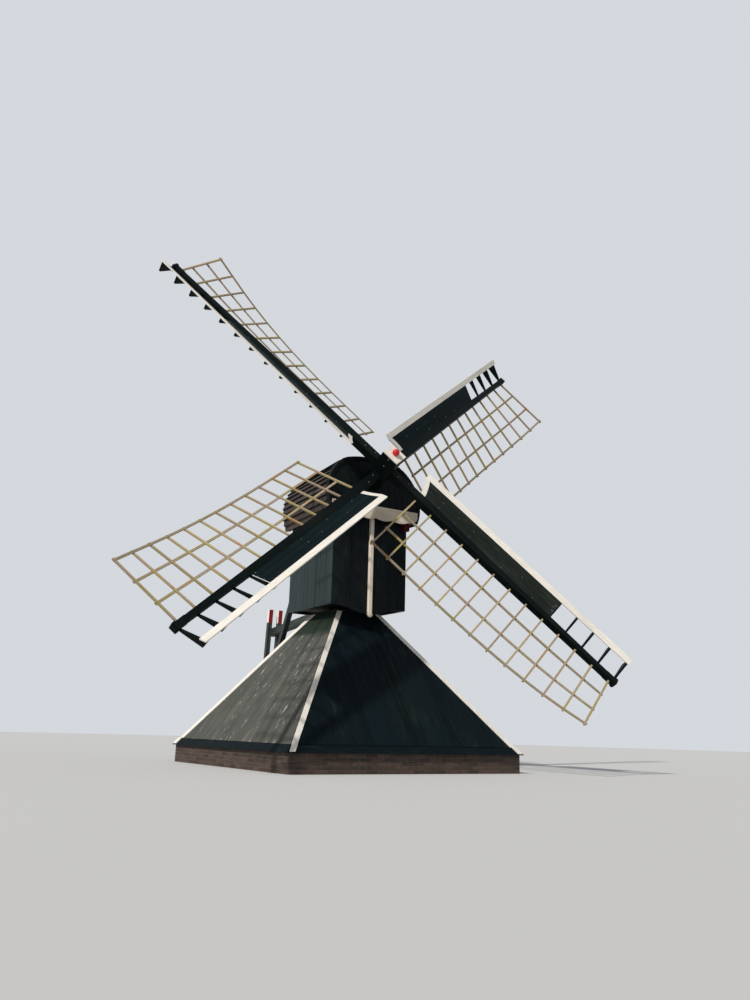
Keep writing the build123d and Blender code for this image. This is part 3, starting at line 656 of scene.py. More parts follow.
@dataclass
class Roof:
    """Lapped boards on the curved roof."""

    eaves: float = 4.33
    side_x: float = 0.143             # middle of the round side, from the middle of the roof
    side_z: float = 4.707
    side_r: float = 0.792
    knee: float = 59.0                # degrees up the round side to the foot of the crown
    ridge: float = 5.465
    side_weather_and_sheen: int = 11
    crown_boards: int = 10
    front: float = -1.041
    back: float = 1.0
    back_drop: float = 0.062          # how much lower the ridge is behind
    gable_foot: Point = (-1.011, 4.29)
    rake: float = 9.0                 # degrees that the front gable leans back
    end_lap: float = 0.030            # of the shell past that gable
    shell: float = 0.036
    board: Point = (0.038, 0.013)     # thickness at the lower and at the upper edge
    lap: float = 0.022
    verge: Point = (0.105, 0.036)     # width along the roof and thickness
    set_back: float = 0.006
    uneven: Point = (-0.004, 0.006)   # how far the boards' ends behind are out of line
    edge: float = 0.003               # thickness of the painted shade on a lower edge
    ridge_board: Sequence[Point] = ((-0.075, 0.012), (0.075, 0.012), (0.06, 0.040), (-0.06, 0.040))

    def corners(self, inset: float = 0.0) -> list[Vector]:
        """Corners of the section from the middle of the eaves, from right to left.

        Args:
            inset: how far inside the outer face, or outside it where less than 0.

        Returns:
            The corners, X across and Y up from the eaves.
        """
        radius, up = self.side_r - inset, self.side_z - self.eaves
        foot = -math.asin(up / radius)
        step = (math.radians(self.knee) - foot) / self.side_weather_and_sheen
        angles = [foot + step * index for index in range(self.side_weather_and_sheen + 1)]
        right = [Vector((self.side_x + radius * math.cos(angle), up + radius * math.sin(angle))) for angle in angles]
        peak = self.ridge - self.eaves - inset
        rise = peak - right[-1].y
        crown_r = (right[-1].x ** 2 + rise ** 2) / (2 * rise)
        spread = math.asin(right[-1].x / crown_r)
        crown = []
        for index in range(1, self.crown_boards):
            angle = spread * (1 - 2 * index / self.crown_boards)
            crown.append(Vector((crown_r * math.sin(angle), peak - crown_r + crown_r * math.cos(angle))))
        return right + crown + [Vector((-corner.x, corner.y)) for corner in reversed(right)]

    def taper(self, y: float) -> float:
        """Size of the section at a distance y, 1 at the front."""
        drop = self.back_drop / (self.ridge - self.eaves)
        return 1 - drop * (y - self.front) / (self.back - self.front)

    def gable_y(self, z: float) -> float:
        """Outer face of the raked front gable at height z."""
        return self.gable_foot[0] + (z - self.gable_foot[1]) * math.tan(math.radians(self.rake))

    def at(self, corner: Vector, y: float) -> Vector:
        """Place of a corner of the section at a distance y."""
        share = self.taper(y)
        return Vector((corner.x * share, y, self.eaves + corner.y * share))

    def course(self, mesh: Joined, edges: Joined, low: Vector, high: Vector, draw: random.Random) -> None:
        """Add one lapped board, its lower edge on the course below, and painted shade on the face of that edge.

        Args:
            mesh: the boards.
            edges: the painted shade on the faces of their lower edges.
            low: corner of the section at the board's lower edge.
            high: corner at its upper edge.
            draw: where its length and its tone come from.
        """
        up = (high - low).normalized()
        out = Vector((up.y, -up.x)) * math.copysign(1, low.x)
        top = high + up * self.lap
        thick, thin = self.board
        section = [low + out * thin, low + out * (thin + thick), top + out * thin, top + out * LIFT]
        edge = [section[0], section[1] - out * GAP]
        edge += [corner - up * self.edge for corner in reversed(edge)]
        end = self.back + draw.uniform(*self.uneven)
        for piece, ring, tone in ((mesh, section, draw.uniform(-1, 1)), (edges, edge, 0.0)):
            piece.through([[self.at(corner, self.edge_y(corner) + self.verge[0]) for corner in ring],
                           [self.at(corner, end) for corner in ring]], tone)

    def edge_y(self, corner: Vector) -> float:
        """Front edge of what lies on the roof, a little behind the edge of the shell."""
        return self.gable_y(self.eaves + corner.y) - self.end_lap / math.cos(math.radians(self.rake)) + self.set_back

    def verge_boards(self) -> None:
        """Dark boards along the front edge, one on each flat of the roof."""
        mesh = Joined("roof_verge", Body.HOUSE, "green_boards")
        inner, outer = self.corners(-LIFT), self.corners(-self.verge[1])
        for index in range(len(inner) - 1):
            section = [inner[index], inner[index + 1], outer[index + 1], outer[index]]
            mesh.through([[self.at(corner, self.edge_y(corner) + past) for corner in section]
                          for past in (0.0, self.verge[0] - GAP)])
        mesh.done(GABLE_BOARDS.build(Y_AXIS, "_verge"))

    def dress(self) -> None:
        """Lay the courses from both eaves to the ridge."""
        mesh, draw = Joined("roof_boards_lapped", Body.HOUSE, "roof_boards"), random.Random(5)
        edges = Joined("roof_board_shade_edges", Body.HOUSE, "roof_boards")
        corners = self.corners()
        half = len(corners) // 2
        peak = corners[half]
        for index in range(half):
            self.course(mesh, edges, corners[index], corners[index + 1], draw)
            self.course(mesh, edges, corners[-1 - index], corners[-2 - index], draw)
        ridge = [peak + Vector((x, lift)) for x, lift in self.ridge_board]
        mesh.through([[self.at(corner, self.edge_y(peak) + self.verge[0]) for corner in ridge],
                      [self.at(corner, self.back + self.uneven[1]) for corner in ridge]])
        mesh.done(ROOF_WOOD.build(Y_AXIS, "_lapped"), EDGE)
        # painted shade on the boards' lower edges
        edges.done(ROOF_PAINTED_SHADE.build(Y_AXIS, "_edges"))
        self.verge_boards()
        # the shell is painted as shade
        paint("roof_shell", ROOF_PAINTED_SHADE.build(Y_AXIS, "_shell"))


@dataclass
class UpperHouse:
    """Boarded walls, gables, valance and post of the upper house."""

    half: float = 0.753
    front: float = 0.84
    back: float = 0.851
    foot: float = 2.733
    drop: float = 0.118               # how much lower the front boards are in the middle
    wall: float = 0.045
    post_half: float = 0.042
    block: Point = (0.11, 0.135)      # width and height of the blocks under the eaves
    board: float = 0.15
    front_board: float = 0.178
    valance: Point = (0.895, 0.258)   # half width and height
    cap_drop: float = 0.030           # foot of the strip on the valance under the valance's top
    cap: Sequence[Point] = ((0.0, 0.0), (0.030, 0.004), (0.036, 0.012), (0.036, 0.022), (0.026, 0.032), (0.0, 0.032))
    neck: float = 0.165               # radius of the opening for the windshaft
    roof: Roof = field(default_factory=Roof)

    def front_edge(self, x: float) -> float:
        """Lower edge of the front boards, two ogees that are low in the middle.

        Args:
            x: distance from the middle.

        Returns:
            The height of the edge.
        """
        run = (self.half - self.wall) / 2
        radius = (run ** 2 + (self.drop / 2) ** 2) / self.drop
        outer = 2 * run - abs(x)
        if outer <= 0:
            return self.foot
        if outer <= run:
            return self.foot - radius + math.sqrt(radius ** 2 - outer ** 2)
        return self.foot - self.drop + radius - math.sqrt(radius ** 2 - x ** 2)

    def wall_boards(self) -> None:
        """Upright boards of the four walls."""
        draw, eaves = random.Random(21), self.roof.eaves - GAP
        fields: dict[str, list[BoardField]] = {}
        for name, corner, across, width in (
                ("left", (-self.half, self.back), -Y_AXIS, self.front + self.back),
                ("right", (self.half, -self.front), Y_AXIS, self.front + self.back),
                ("back", (self.half, self.back), -X_AXIS, 2 * self.half)):
            outline = [(0.0, self.foot), (width, self.foot), (width, eaves), (0.0, eaves)]
            fields[name] = [BoardField(Vector((*corner, 0)), across, Z_AXIS, outline, self.board)]
        fields["front"] = []
        steps = 24
        xs = [self.post_half + (self.half - self.post_half) * step / steps for step in range(steps + 1)]
        under = self.roof.eaves - self.block[1] - GAP
        shoulder = self.half - self.block[0] - GAP
        for sign in (-1, 1):
            outline = [(sign * x, self.front_edge(x)) for x in xs]
            outline += [(sign * self.half, under), (sign * shoulder, under), (sign * shoulder, eaves),
                        (sign * self.post_half, eaves)]
            fields["front"].append(BoardField(Y_AXIS * -self.front, X_AXIS, Z_AXIS, outline, self.front_board))
        for name, several in fields.items():
            mesh = Joined(f"house_{name}_boards", Body.HOUSE, "green_boards")
            for one in several:
                one.lay(mesh, draw)
            # the left wall takes the lighter boards: weathering and painted sheen
            mesh.done((SIDE_WEATHER_AND_SHEEN if name == "left" else GREEN_BOARDS).build(), EDGE)
            paint(f"house_{name}_wall", GREEN_BOARDS.build())

    def gable_boards(self) -> None:
        """Upright boards of the raked front gable and of the back gable."""
        draw, rake = random.Random(8), math.radians(self.roof.rake)
        up = Vector((0, math.sin(rake), math.cos(rake)))
        y, z = self.roof.gable_foot
        rise = (self.roof.eaves - z) / math.cos(rake)
        inner = [(corner.x, rise + corner.y / math.cos(rake)) for corner in self.roof.corners(self.roof.shell)]
        outline = clip(inner, 0, -1, -(self.valance[1] + GAP))
        raked, tilted = math.tan(rake), math.tan(math.radians(SHAFT_TILT))
        neck_y = (y + raked * (HUB.z - z) + raked * tilted * HUB.y) / (1 + raked * tilted)
        neck_z = HUB.z - (neck_y - HUB.y) * tilted
        mesh = Joined("front_gable_boards", Body.HOUSE, "green_boards")
        BoardField(Vector((0, y, z)), X_AXIS, up, outline, self.board,
                   hole=((0.0, (neck_z - z) / math.cos(rake)), self.neck)).lay(mesh, draw)
        mesh.done(GABLE_BOARDS.build(), EDGE)
        share = self.roof.taper(self.back)
        outline = [(-corner.x * share, self.roof.eaves + GAP + corner.y * share)
                   for corner in self.roof.corners(self.roof.shell)]
        mesh = Joined("back_gable_boards", Body.HOUSE, "green_boards")
        BoardField(Y_AXIS * self.back, -X_AXIS, Z_AXIS, outline, self.board).lay(mesh, draw)
        mesh.done(GREEN_BOARDS.build(), EDGE)
        for name in ("front_gable", "back_gable"):
            paint(name, GABLE_BOARDS.build())

    def valance_cap(self) -> None:
        """Moulded strip along the top of the valance."""
        rake = math.radians(self.roof.rake)
        up, out = Vector((0, math.sin(rake), math.cos(rake))), Vector((0, -math.cos(rake), math.sin(rake)))
        origin = Vector((0, *self.roof.gable_foot)) + up * (self.valance[1] - self.cap_drop)
        mesh = Joined("valance_cap", Body.HOUSE, "cream_paint")
        mesh.through([[origin + X_AXIS * x + out * reach + up * rise for reach, rise in self.cap]
                      for x in (-self.valance[0], self.valance[0])])
        mesh.done(CREAM_PAINT.build(X_AXIS, "_cap"), 0.001)

    def dress(self) -> None:
        """Lay the boards and paint what the frame holds."""
        self.wall_boards()
        self.gable_boards()
        self.valance_cap()
        self.roof.dress()
        paint("valance", CREAM_PAINT.build(X_AXIS, "_valance"))
        paint("centre_post", POST_PAINT.build())
        # the soffit is painted as shade
        paint("gable_soffit", SOFFIT_PAINTED_SHADE.build())
        # eaves blocks: red with painted shade
        paint("eaves_blocks", RED_SHADE.build())
        for name in ("wall_plates", "neck_beam", "shaft_tail_beam"):
            paint(name, PLAIN_TIMBER.build())
        paint("house_floor", DARK_TIMBER.build())


@dataclass
class Tail:
    """Frame behind the upper house, with red tips on its uprights."""

    tip: float = 0.27     # height of the painted tips
    top: float = 3.09

    def tip_finish(self) -> bpy.types.Material:
        """Worn paint with tips that are red in front and behind, and white on their sides.

        Returns:
            The material.
        """
        nodes = Nodes("tail_uprights_paint")
        wobble = nodes.noise(nodes.place(Z_AXIS, (1, 1, 1)), 30.0)
        level = nodes.maths("MULTIPLY_ADD", wobble, 0.012, nodes.measure("Object", 2))
        wear = nodes.noise(nodes.place(Z_AXIS, (1, 1, 0.1)), 22.0, 5.0)
        base = nodes.mix(nodes.between(wear, 0.4, 0.65), TAIL_PAINT.colour, TAIL_PAINT.worn)
        red = nodes.mix(nodes.between(wear, 0.4, 0.7), RED_PAINT.colour, RED_PAINT.worn)
        sideways = nodes.maths("GREATER_THAN", nodes.maths("ABSOLUTE", nodes.measure("Normal", 0)), 0.7)
        tip = nodes.mix(sideways, red, WHITE_PAINT.colour)
        nodes.connect("Base Color", nodes.mix(nodes.maths("GREATER_THAN", level, self.top - self.tip), base, tip))
        nodes.shader.inputs["Roughness"].default_value = 0.6
        nodes.bump(wear, 0.25)
        return nodes.material

    def dress(self) -> None:
        """Paint the frame's timbers."""
        paint("tail_uprights", self.tip_finish())
        paint("tail_beam", TAIL_PAINT.build(Y_AXIS, "_beam"))
        paint("tail_struts", TAIL_PAINT.build(Vector((0, 0.74, -0.67)), "_struts"))


@dataclass
class Sail:
    """Sizes of one sail in its own frame: X out, Y to the trailing side, Z back."""

    radius: float = 5.5
    stock: Point = (0.170, 0.150)               # width and thickness
    stock_tip: Point = (0.096, 0.104)           # and at the tip
    bow: float = 0.020                          # how far forward the tip is
    straight: float = 0.7                       # from the hub to the start of the taper
    end_gap: float = 0.134                      # from the last bar to the tip
    pitch: float = 0.379
    bars: int = 13
    bar: Point = (0.034, 0.032)                 # width and depth
    bar_uneven: Point = (0.008, 0.94)           # how much shorter one may be, and its least share of the width
    bar_back: float = 0.016                     # the bar's back behind the frame bar's middle
    reach: float = 1.299                        # middle of the stock to the end of a bar
    laths: Sequence[Point] = ((0.424, 0.022), (0.847, 0.022), (1.258, -0.007))     # place and back of each
    lath: Triple = (0.042, 0.015, 0.034)        # width, thickness and how far it runs past the last bar
    bracket: Triple = (0.045, 0.215, 0.060)     # depth at the stock, and at the end from tip to hub
    bracket_t: float = 0.034
    bracket_out: float = 0.050                  # from a bar to its bracket
    bracket_tuck: Point = (0.020, 0.013)        # into the stock, and behind the boards
    fore: float = 0.008                         # middle of the bars in front of the stock's
    twist: Point = (1.2, 23.0)                  # degrees at the tip and at the hub
    lead_w: float = 0.466                       # middle of the stock to the leading edge
    lead_fore: Point = (0.230, 0.296)           # how far forward that edge is, at the hub and at the tip
    lead_inset: float = 0.020                   # how far behind the stock's front the raked side starts
    lead_end: float = 0.027                     # from the end of the leading board to the tip
    lead_board: float = 0.112
    inner: float = 0.653                        # from the hub to the curved board at the inner end
    end_w: float = 0.100                        # width of that board
    end_skew: float = 0.140                     # how much farther out it is at the stock
    end_bow: float = 0.015
    open_bays: int = 4
    wind_t: float = 0.016
    wind_past: Point = (0.010, 0.060)           # past the last closed bar, of the frame's plate and the planks

    def grown(self, index: int) -> float:
        """Share of the whole twist that a bar has."""
        return 1 - (1 - index / (self.bars - 1)) ** 3

    def share(self, x: float) -> float:
        """Share of the way along the stock's taper."""
        return max(0.0, (x - self.straight) / (self.radius - self.straight))

    def half_w(self, x: float) -> float:
        """Half width of the stock."""
        return (self.stock[0] + (self.stock_tip[0] - self.stock[0]) * self.share(x)) / 2

    def half_t(self, x: float) -> float:
        """Half thickness of the stock."""
        return (self.stock[1] + (self.stock_tip[1] - self.stock[1]) * self.share(x)) / 2

    def bar_x(self, index: int) -> float:
        """Distance of a bar from the hub."""
        return self.radius - self.end_gap - self.pitch * index

    def angle(self, index: int) -> float:
        """Twist of a bar in radians."""
        return math.radians(self.twist[0] + (self.twist[1] - self.twist[0]) * self.grown(index))

    def on_bar(self, index: int, out: float) -> Matrix:
        """Frame on a bar: X along the sail, Y out along the bar, Z square to the lattice."""
        turned = Matrix.Translation((self.bar_x(index), 0, -self.fore)) @ Matrix.Rotation(self.angle(index), 4, "X")
        return turned @ Matrix.Translation((0, out, 0))

    def bar_depth(self) -> Matrix:
        """Move from the middle of the frame's bar to the middle of the scene's bar."""
        return Matrix.Translation((0, 0, self.bar_back - self.bar[1] / 2))

    def lead_line(self, x: float) -> tuple[Vector, Vector]:
        """Where the raked side leaves the stock and where it ends, as reach and height in front.

        Args:
            x: distance from the hub.

        Returns:
            The point on the stock and the one on the leading board.
        """
        root = self.half_w(x)
        fore = self.bow * self.share(x) + self.half_t(x) - self.lead_inset
        share = (x - self.inner) / (self.radius - self.lead_end - self.inner)
        tip = self.lead_fore[0] + (self.lead_fore[1] - self.lead_fore[0]) * share
        return Vector((root, fore)), Vector((self.lead_w, tip))

    def bracket_outline(self, index: int, share: float) -> list[Point]:
        """Outline of a bracket as reach and height in front, its outer end cut to a share of its depth.

        Args:
            index: the bar, counted from the tip.
            share: share of the depth.

        Returns:
            The four corners.
        """
        root, tip = self.lead_line(self.bar_x(index))
        along = (tip - root).normalized()
        narrow, deep, shallow = self.bracket
        inside, behind = self.bracket_tuck
        drop = (deep + (shallow - deep) * self.grown(index)) * share
        foot, back = root - along * inside, Vector((along.y, -along.x)) * behind
        return [tuple(corner) for corner in (foot + back, tip + back, tip - Vector((0, drop)),
                                             foot - Vector((0, narrow)))]

    def ruled(self, x: float, share: float, lift: float) -> Vector:
        """Point on the wind boards at a share of their width, lifted forward off their middle.

        Args:
            x: distance from the hub.
            share: share of the width, 0 at the stock.
            lift: how far forward of the middle.

        Returns:
            The point in the sail's frame.
        """
        near, far = self.inner, self.bar_x(self.open_bays) + self.wind_past[0]
        ends = []
        for at in (near, far):
            root, tip = self.lead_line(at)
            span = Vector((0, *(root - tip)))
            off = Vector((0, span.z, -span.y)).normalized()
            if off.z > 0:
                off = -off
            board = 1 - self.lead_board / span.length
            ends.append(Vector((at, -root.x, -root.y)) + span * (share * board) + off * lift)
        return ends[0].lerp(ends[1], (x - near) / (far - near))

    def inner_x(self, share: float) -> float:
        """Outer edge of the curved board at the inner end, at a share of the wind boards' width."""
        return self.inner + self.end_w + self.end_skew * (1 - share) + self.end_bow * 4 * share * (1 - share)


@dataclass
class Rotor:
    """Windshaft, stocks and the four sails."""

    poll: Point = (0.330, 0.380)           # width, and front of the poll end from its middle
    cap: float = 0.020
    knob: float = 0.064                    # radius
    knob_out: float = 0.042                # middle of the knob from the cap
    stock_mid: float = 0.048               # between the two stocks, from the hub
    stock_offset: float = 0.077            # of each stock from there
    planks: int = 3
    plank: Point = (0.006, 0.004)          # thickness, and gap to the curved board
    plank_shares: Point = (0.02, 0.98)     # where a plank starts and ends in its share of the width
    bracket_shares: dict[str, float] = field(default_factory=lambda: {"4": 0.8})   # of the brackets' depth, by sail
    tip_blocks: Sequence[Triple] = ((5.25, 5.475, 0.006), (5.43, 5.490, 0.016))    # start, end and how proud
    peg: Triple = (0.010, 0.017, 0.004)    # middle from the bar's end, length and how much thicker
    cap_bolts: Point = (-0.330, -0.160)    # places along the shaft, less than 0 in front of the middle
    cap_bolt: Point = (0.010, 0.014)       # height and radius
    stock_bolts: Sequence[Point] = ((0.30, 0.03), (0.52, -0.02))    # places out along a stock and across it
    stock_bolt: float = 0.009              # height
    bolt_rows: Point = (0.10, 0.55)        # shares of the wind boards' width
    bolt_stray: float = 0.02
    bolt_clear: float = 0.03               # from the curved board
    bolt_share: float = 0.45               # of the places that have one
    bolt_lift: Point = (0.004, 0.013)      # foot and top over the frame's plate
    bolt_r: Point = (0.008, 0.012)
    sail: Sail = field(default_factory=Sail)

    def place(self, turn: float = 0.0, depth: float = 0.0) -> Matrix:
        """Frame of the sails, turned: X out along a sail, Y to its trailing side, Z back.

        Args:
            turn: degrees about the shaft.
            depth: how far back along the shaft.

        Returns:
            The frame.
        """
        tilt = math.radians(SHAFT_TILT)
        axes = Matrix((
            (1, 0, 0),
            (0, -math.sin(tilt), math.cos(tilt)),
            (0, -math.cos(tilt), -math.sin(tilt)))).to_4x4()
        turned = Matrix.Translation(HUB) @ axes @ Matrix.Rotation(math.radians(turn), 4, "Z")
        return turned @ Matrix.Translation((0, 0, depth))

    def along(self, turn: float) -> Vector:
        """Direction out along a sail."""
        return self.place(turn).to_3x3() @ X_AXIS

    def on_sail(self, name: str) -> Matrix:
        """Frame of one sail, in the middle of its stock."""
        depth = self.stock_mid + (self.stock_offset if name in "24" else -self.stock_offset)
        return self.place(SAIL_TURNS[name], depth)

    def knob_piece(self) -> None:
        """Turned red knob on the end of the windshaft, nearly a whole ball."""
        mesh = Joined("poll_knob_turned", Body.ROTOR, "red_knob")
        short = 0.03      # radians that the ball's top stays open to its last ring
        low, high = -math.asin(self.knob_out / self.knob), math.pi / 2 - short
        steps = 18
        turns = [low + (high - low) * step / steps for step in range(steps + 1)]
        ball = [(self.knob * math.cos(turn), self.knob_out + self.knob * math.sin(turn)) for turn in turns]
        place = self.place(0.0, -self.poll[1] - self.cap) @ Matrix.Rotation(math.pi, 4, "X")
        mesh.lathe(place, ball, 40)
        piece = mesh.done(RED_KNOB.build(), smooth=True)
        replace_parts(piece, "poll_knob")

    def lattice(self, name: str) -> None:
        """Bars and laths of one sail: the inner laths behind the bars, the trailing one in front.

        Args:
            name: the sail's number.
        """
        sail, place, draw = self.sail, self.on_sail(name), random.Random(int(name) + 20)
        mesh = Joined(f"sail_bars_{name}", Body.ROTOR, "sail_wood")
        short, slim = sail.bar_uneven
        for index in range(sail.bars):
            length = sail.reach - draw.uniform(0.0, short)
            middle = place @ sail.on_bar(index, length / 2) @ sail.bar_depth()
            mesh.block(middle, (sail.bar[0] * draw.uniform(slim, 1.0), length, sail.bar[1]), draw.uniform(-1, 1))
        bars = mesh.done(SAIL_WOOD.build(), 0.003)
        mesh, (width, thick, run) = Joined(f"sail_laths_{name}", Body.ROTOR, "sail_wood"), sail.lath
        for out, lath_back in sail.laths:
            rings = []
            for index in range(sail.bars):
                past = run * {0: 1, sail.bars - 1: -1}.get(index, 0)
                spot = place @ Matrix.Translation((past, 0, 0)) @ sail.on_bar(index, out)
                rings.append([spot @ Vector((0, y * width / 2, lath_back - depth))
                              for y, depth in ((-1, 0), (1, 0), (1, thick), (-1, thick))])
            mesh.through(rings, draw.uniform(-1, 1))
        for piece in (bars, mesh.done(LATH_WOOD.build())):
            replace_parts(piece, f"sail_lattice_{name}")

    def bracket_plates(self) -> None:
        """Tapered plates that carry the leading side of every sail."""
        mesh, sail = Joined("bracket_plates", Body.ROTOR, "stock_paint"), self.sail
        for name in SAIL_TURNS:
            place, share = self.on_sail(name), self.bracket_shares.get(name, 1.0)
            for index in range(sail.bars):
                x = sail.bar_x(index) + sail.bracket_out
                ring = [place @ Vector((x, -reach, -height)) for reach, height in sail.bracket_outline(index, share)]
                mesh.prism(ring, place.to_3x3() @ (X_AXIS * sail.bracket_t))
        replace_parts(mesh.done(STOCK_PAINT.build(Z_AXIS, "_brackets"), 0.001), "sail_brackets")

    def wind_planks(self, name: str) -> None:
        """Lay the wind boards of one sail as planks over the frame's plate.

        Args:
            name: the sail's number.
        """
        mesh, draw = Joined(f"wind_planks_{name}", Body.ROTOR, "wind_boards"), random.Random(int(name) + 40)
        place, sail, face = self.on_sail(name), self.sail, self.sail.wind_t / 2
        far = sail.bar_x(sail.open_bays) + sail.wind_past[1]
        thick, clear = self.plank
        for plank in range(self.planks):
            low, high = ((plank + share) / self.planks for share in self.plank_shares)
            tone, top = draw.uniform(-1, 1), thick * draw.uniform(0.8, 1.2)
            mesh.through([[place @ sail.ruled(x, share, face + lift) for x, share, lift in (
                (first, low, 0.0), (second, high, 0.0), (second, high, top), (first, low, top))]
                for first, second in ((sail.inner_x(low) + clear, sail.inner_x(high) + clear), (far, far))], tone)
        mesh.done(self.wind_finish(name).build(place.to_3x3() @ X_AXIS, "_" + name), 0.001)

    def wind_finish(self, name: str) -> WoodFinish:
        """Finish of one sail's wind boards: one sail's are painted lighter, as painted light."""
        return WIND_PAINTED_LIT if name == "1" else WIND_PAINT

    def fasteners(self, name: str) -> None:
        """Bolts through the wind boards at some of the bars.

        Args:
            name: the sail's number.
        """
        mesh, sail, place = Joined(f"sail_bolts_{name}", Body.ROTOR, "stock_paint"), self.sail, self.on_sail(name)
        draw = random.Random(int(name) + 60)
        for index in range(sail.open_bays, sail.bars):
            x = sail.bar_x(index) + draw.uniform(-self.bolt_stray, self.bolt_stray)
            for share in self.bolt_rows:
                at = share + draw.uniform(-self.bolt_stray, self.bolt_stray)
                if x > sail.inner_x(at) + self.bolt_clear and draw.random() < self.bolt_share:
                    spot, above = (sail.ruled(x, at, sail.wind_t / 2 + lift) for lift in self.bolt_lift)
                    self.bolt(mesh, place, spot, above - spot, draw.uniform(*self.bolt_r))
        mesh.done(BOLT.build(), smooth=True)

    def bolt(self, mesh: Joined, place: Matrix, spot: Vector, out: Vector, radius: float = 0.013) -> None:
        """Add one round bolt head.

        Args:
            mesh: the bolts.
            place: frame that the rest is in.
            spot: middle of its foot.
            out: from its foot to its top.
            radius: its radius at the foot.
        """
        turn = Z_AXIS.rotation_difference(out).to_matrix().to_4x4()
        mesh.lathe(place @ Matrix.Translation(spot) @ turn, [
            (radius * wide, out.length * high) for wide, high in ((1, 0), (1, 0.45), (0.72, 0.85), (0.3, 1))], 12)

    def bar_pegs(self, name: str) -> None:
        """Dark ends of the bars, outside the trailing lath.

        Args:
            name: the sail's number.
        """
        mesh, sail, place = Joined(f"bar_pegs_{name}", Body.ROTOR, "stock_paint"), self.sail, self.on_sail(name)
        back, length, more = self.peg
        for index in range(sail.bars):
            mesh.block(place @ sail.on_bar(index, sail.reach - back) @ sail.bar_depth(),
                       (sail.bar[0] + more, length, sail.bar[1] + more))
        mesh.done(DARK_TIMBER.build(), EDGE)

    def tips(self, name: str) -> None:
        """Thickened block and cap at the tip of one half of a stock.

        Args:
            name: the sail's number.
        """
        mesh, sail, place = Joined(f"stock_tip_{name}", Body.ROTOR, "stock_paint"), self.sail, self.on_sail(name)
        for *ends, proud in self.tip_blocks:
            mesh.through([[place @ Vector((x, y * (sail.half_w(x) + proud),
                                           z * (sail.half_t(x) + proud) - sail.bow * sail.share(x)))
                           for y, z in CORNERS] for x in ends])
        mesh.done(STOCK_PAINT.build(Z_AXIS, "_tips"), 0.004)

    def poll_bolts(self) -> None:
        """Bolts on the sides of the poll end and on the stocks beside it."""
        mesh, half = Joined("poll_bolts", Body.ROTOR, "stock_paint"), self.poll[0] / 2
        place = self.place(SAIL_TURNS["1"])
        for depth in self.cap_bolts:
            for out in (X_AXIS, -X_AXIS, Y_AXIS, -Y_AXIS):
                self.bolt(mesh, place, out * (half - LIFT) + Z_AXIS * depth, out * self.cap_bolt[0], self.cap_bolt[1])
        for name in SAIL_TURNS:
            place = self.on_sail(name)
            for x, y in self.stock_bolts:
                self.bolt(mesh, place, Vector((x, y, LIFT - self.sail.half_t(x))), Z_AXIS * -self.stock_bolt)
        mesh.done(BOLT.build(), smooth=True)

    def dress(self) -> None:
        """Paint the sails and everything on the windshaft."""
        self.knob_piece()
        self.poll_bolts()
        self.bracket_plates()
        for name, turn in SAIL_TURNS.items():
            out = self.along(turn)
            paint(f"sail_lattice_{name}", SAIL_WOOD.build())
            paint(f"wind_boards_{name}", self.wind_finish(name).build(out, "_" + name))
            paint(f"lead_board_{name}", WHITE_PAINT.build(out, "_" + name))
            self.lattice(name)
            self.wind_planks(name)
            self.fasteners(name)
            self.tips(name)
        self.bar_pegs("2")
        for name, first in (("stock_front", "1"), ("stock_back", "2")):
            paint(name, STOCK_PAINT.build(self.along(SAIL_TURNS[first]), "_" + first))
        paint("windshaft", STOCK_PAINT.build(self.place().to_3x3() @ Z_AXIS, "_shaft"))
        paint("poll_end_cap", WHITE_PAINT.build(suffix="_cap"))
        paint("lead_end_boards", WHITE_PAINT.build(suffix="_ends"))
        paint("sail_brackets", STOCK_PAINT.build(suffix="_brackets"))


def paint(node: str, material: bpy.types.Material) -> None:
    """Give a node of the frame its finish.

    Args:
        node: the node's name.
        material: its finish.
    """
    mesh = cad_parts[node].data
    mesh.materials.clear()
    mesh.materials.append(material)
    log.info("%s: %s", node, material.name)


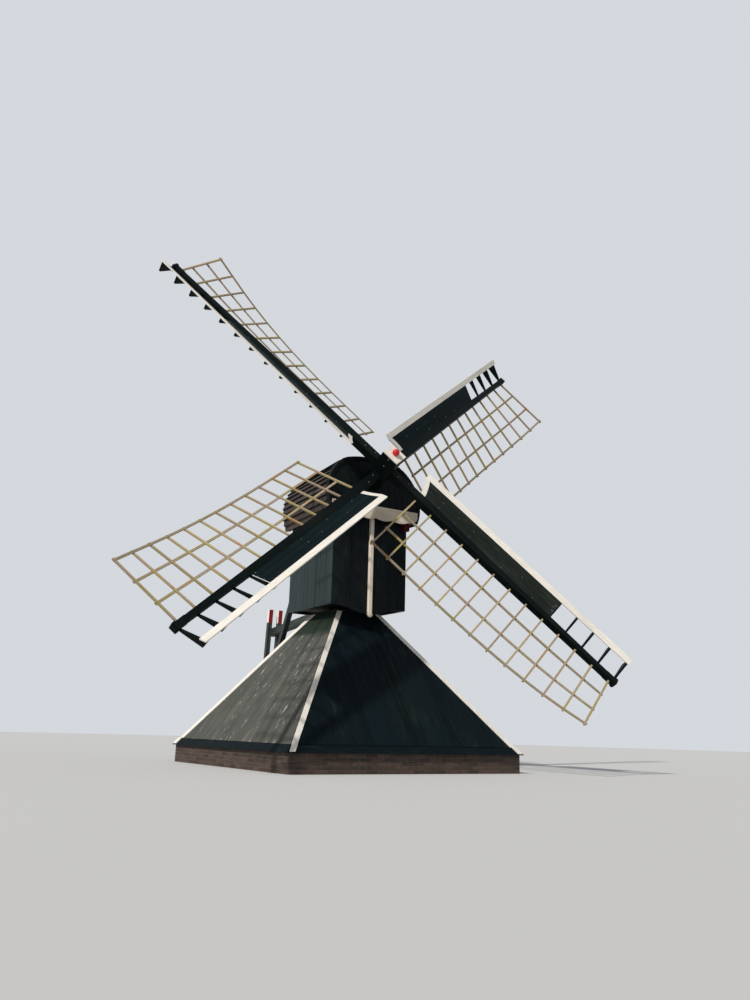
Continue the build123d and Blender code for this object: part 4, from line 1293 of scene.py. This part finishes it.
@dataclass
class Studio:
    """Pale floor, soft light and the camera at the photograph's viewing angle."""

    eye: Vector = field(default_factory=lambda: Vector((-7.754, -14.019, 0.632)))
    yaw: float = 0.5356          # radians to the right of +Y
    pitch: float = 0.2599        # radians up
    roll: float = 0.027
    focal: float = 868.7         # pixels on the picture's long side of 1000
    picture: float = 1000.0
    floor_radius: float = 45.0
    floor_grey: Colour = (0.62, 0.63, 0.64)
    sky: Colour = (0.66, 0.69, 0.73)
    ambient: float = 0.30
    ambient_colour: Colour = (0.94, 0.97, 1.0)
    key: float = 3.0
    key_angle: float = 2.5       # degrees
    key_colour: Colour = (1.0, 0.945, 0.87)
    key_from: Vector = field(default_factory=lambda: Vector((-0.689, -0.307, 0.656)))

    def camera(self) -> None:
        """Make the camera."""
        ahead = Vector((math.sin(self.yaw) * math.cos(self.pitch), math.cos(self.yaw) * math.cos(self.pitch),
                        math.sin(self.pitch)))
        right = Vector((math.cos(self.yaw), -math.sin(self.yaw), 0))
        up = right.cross(ahead)
        across = right * math.cos(self.roll) + up * math.sin(self.roll)
        top = up * math.cos(self.roll) - right * math.sin(self.roll)
        data = bpy.data.cameras.new("camera")
        data.sensor_width = 36.0
        data.lens = self.focal / self.picture * data.sensor_width
        camera = put("camera", data)
        camera.matrix_world = Matrix.Translation(self.eye) @ Matrix((across, top, -ahead)).transposed().to_4x4()
        bpy.context.scene.camera = camera

    def floor(self) -> None:
        """Make the plain pale floor."""
        bm = bmesh.new()
        bmesh.ops.create_circle(bm, cap_ends=True, segments=96, radius=self.floor_radius)
        mesh = bpy.data.meshes.new("floor")
        bm.to_mesh(mesh)
        bm.free()
        nodes = Nodes("floor")
        nodes.shader.inputs["Base Color"].default_value = (*self.floor_grey, 1.0)
        nodes.shader.inputs["Roughness"].default_value = 0.9
        mesh.materials.append(nodes.material)
        piece = put("floor", mesh)
        piece.location.z = -0.001

    def light(self) -> None:
        """Make the soft key light and the even light of the world."""
        data = bpy.data.lights.new("key", "SUN")
        data.energy, data.angle, data.color = self.key, math.radians(self.key_angle), self.key_colour
        key = put("key", data)
        key.rotation_mode = "QUATERNION"
        key.rotation_quaternion = self.key_from.to_track_quat("Z", "Y")
        world = bpy.data.worlds.new("studio")
        bpy.context.scene.world = world
        world.use_nodes = True
        tree = world.node_tree
        tree.nodes.clear()
        path = tree.nodes.new("ShaderNodeLightPath")
        seen = tree.nodes.new("ShaderNodeMath")
        seen.operation = "MAXIMUM"
        tree.links.new(path.outputs["Is Camera Ray"], seen.inputs[0])
        tree.links.new(path.outputs["Is Glossy Ray"], seen.inputs[1])
        even, backdrop = (tree.nodes.new("ShaderNodeBackground") for _ in range(2))
        for node, colour, strength in ((even, self.ambient_colour, self.ambient), (backdrop, self.sky, 1.0)):
            node.inputs[0].default_value, node.inputs[1].default_value = (*colour, 1.0), strength
        mixed, end = tree.nodes.new("ShaderNodeMixShader"), tree.nodes.new("ShaderNodeOutputWorld")
        for index, node in enumerate((seen, even, backdrop)):
            tree.links.new(node.outputs[0], mixed.inputs[index])
        tree.links.new(mixed.outputs[0], end.inputs[0])

    def build(self) -> None:
        """Set up the studio."""
        bpy.context.scene.view_settings.view_transform = "Standard"
        self.camera()
        self.floor()
        self.light()


def main() -> None:
    """Dress the mill."""
    logging.basicConfig(level=logging.INFO, format="%(name)s %(message)s")
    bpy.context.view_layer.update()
    Studio().build()
    for part in (Base(), UpperHouse(), Tail(), Rotor()):
        part.dress()
        log.info("%s done", type(part).__name__)


if __name__ == "__main__":
    main()
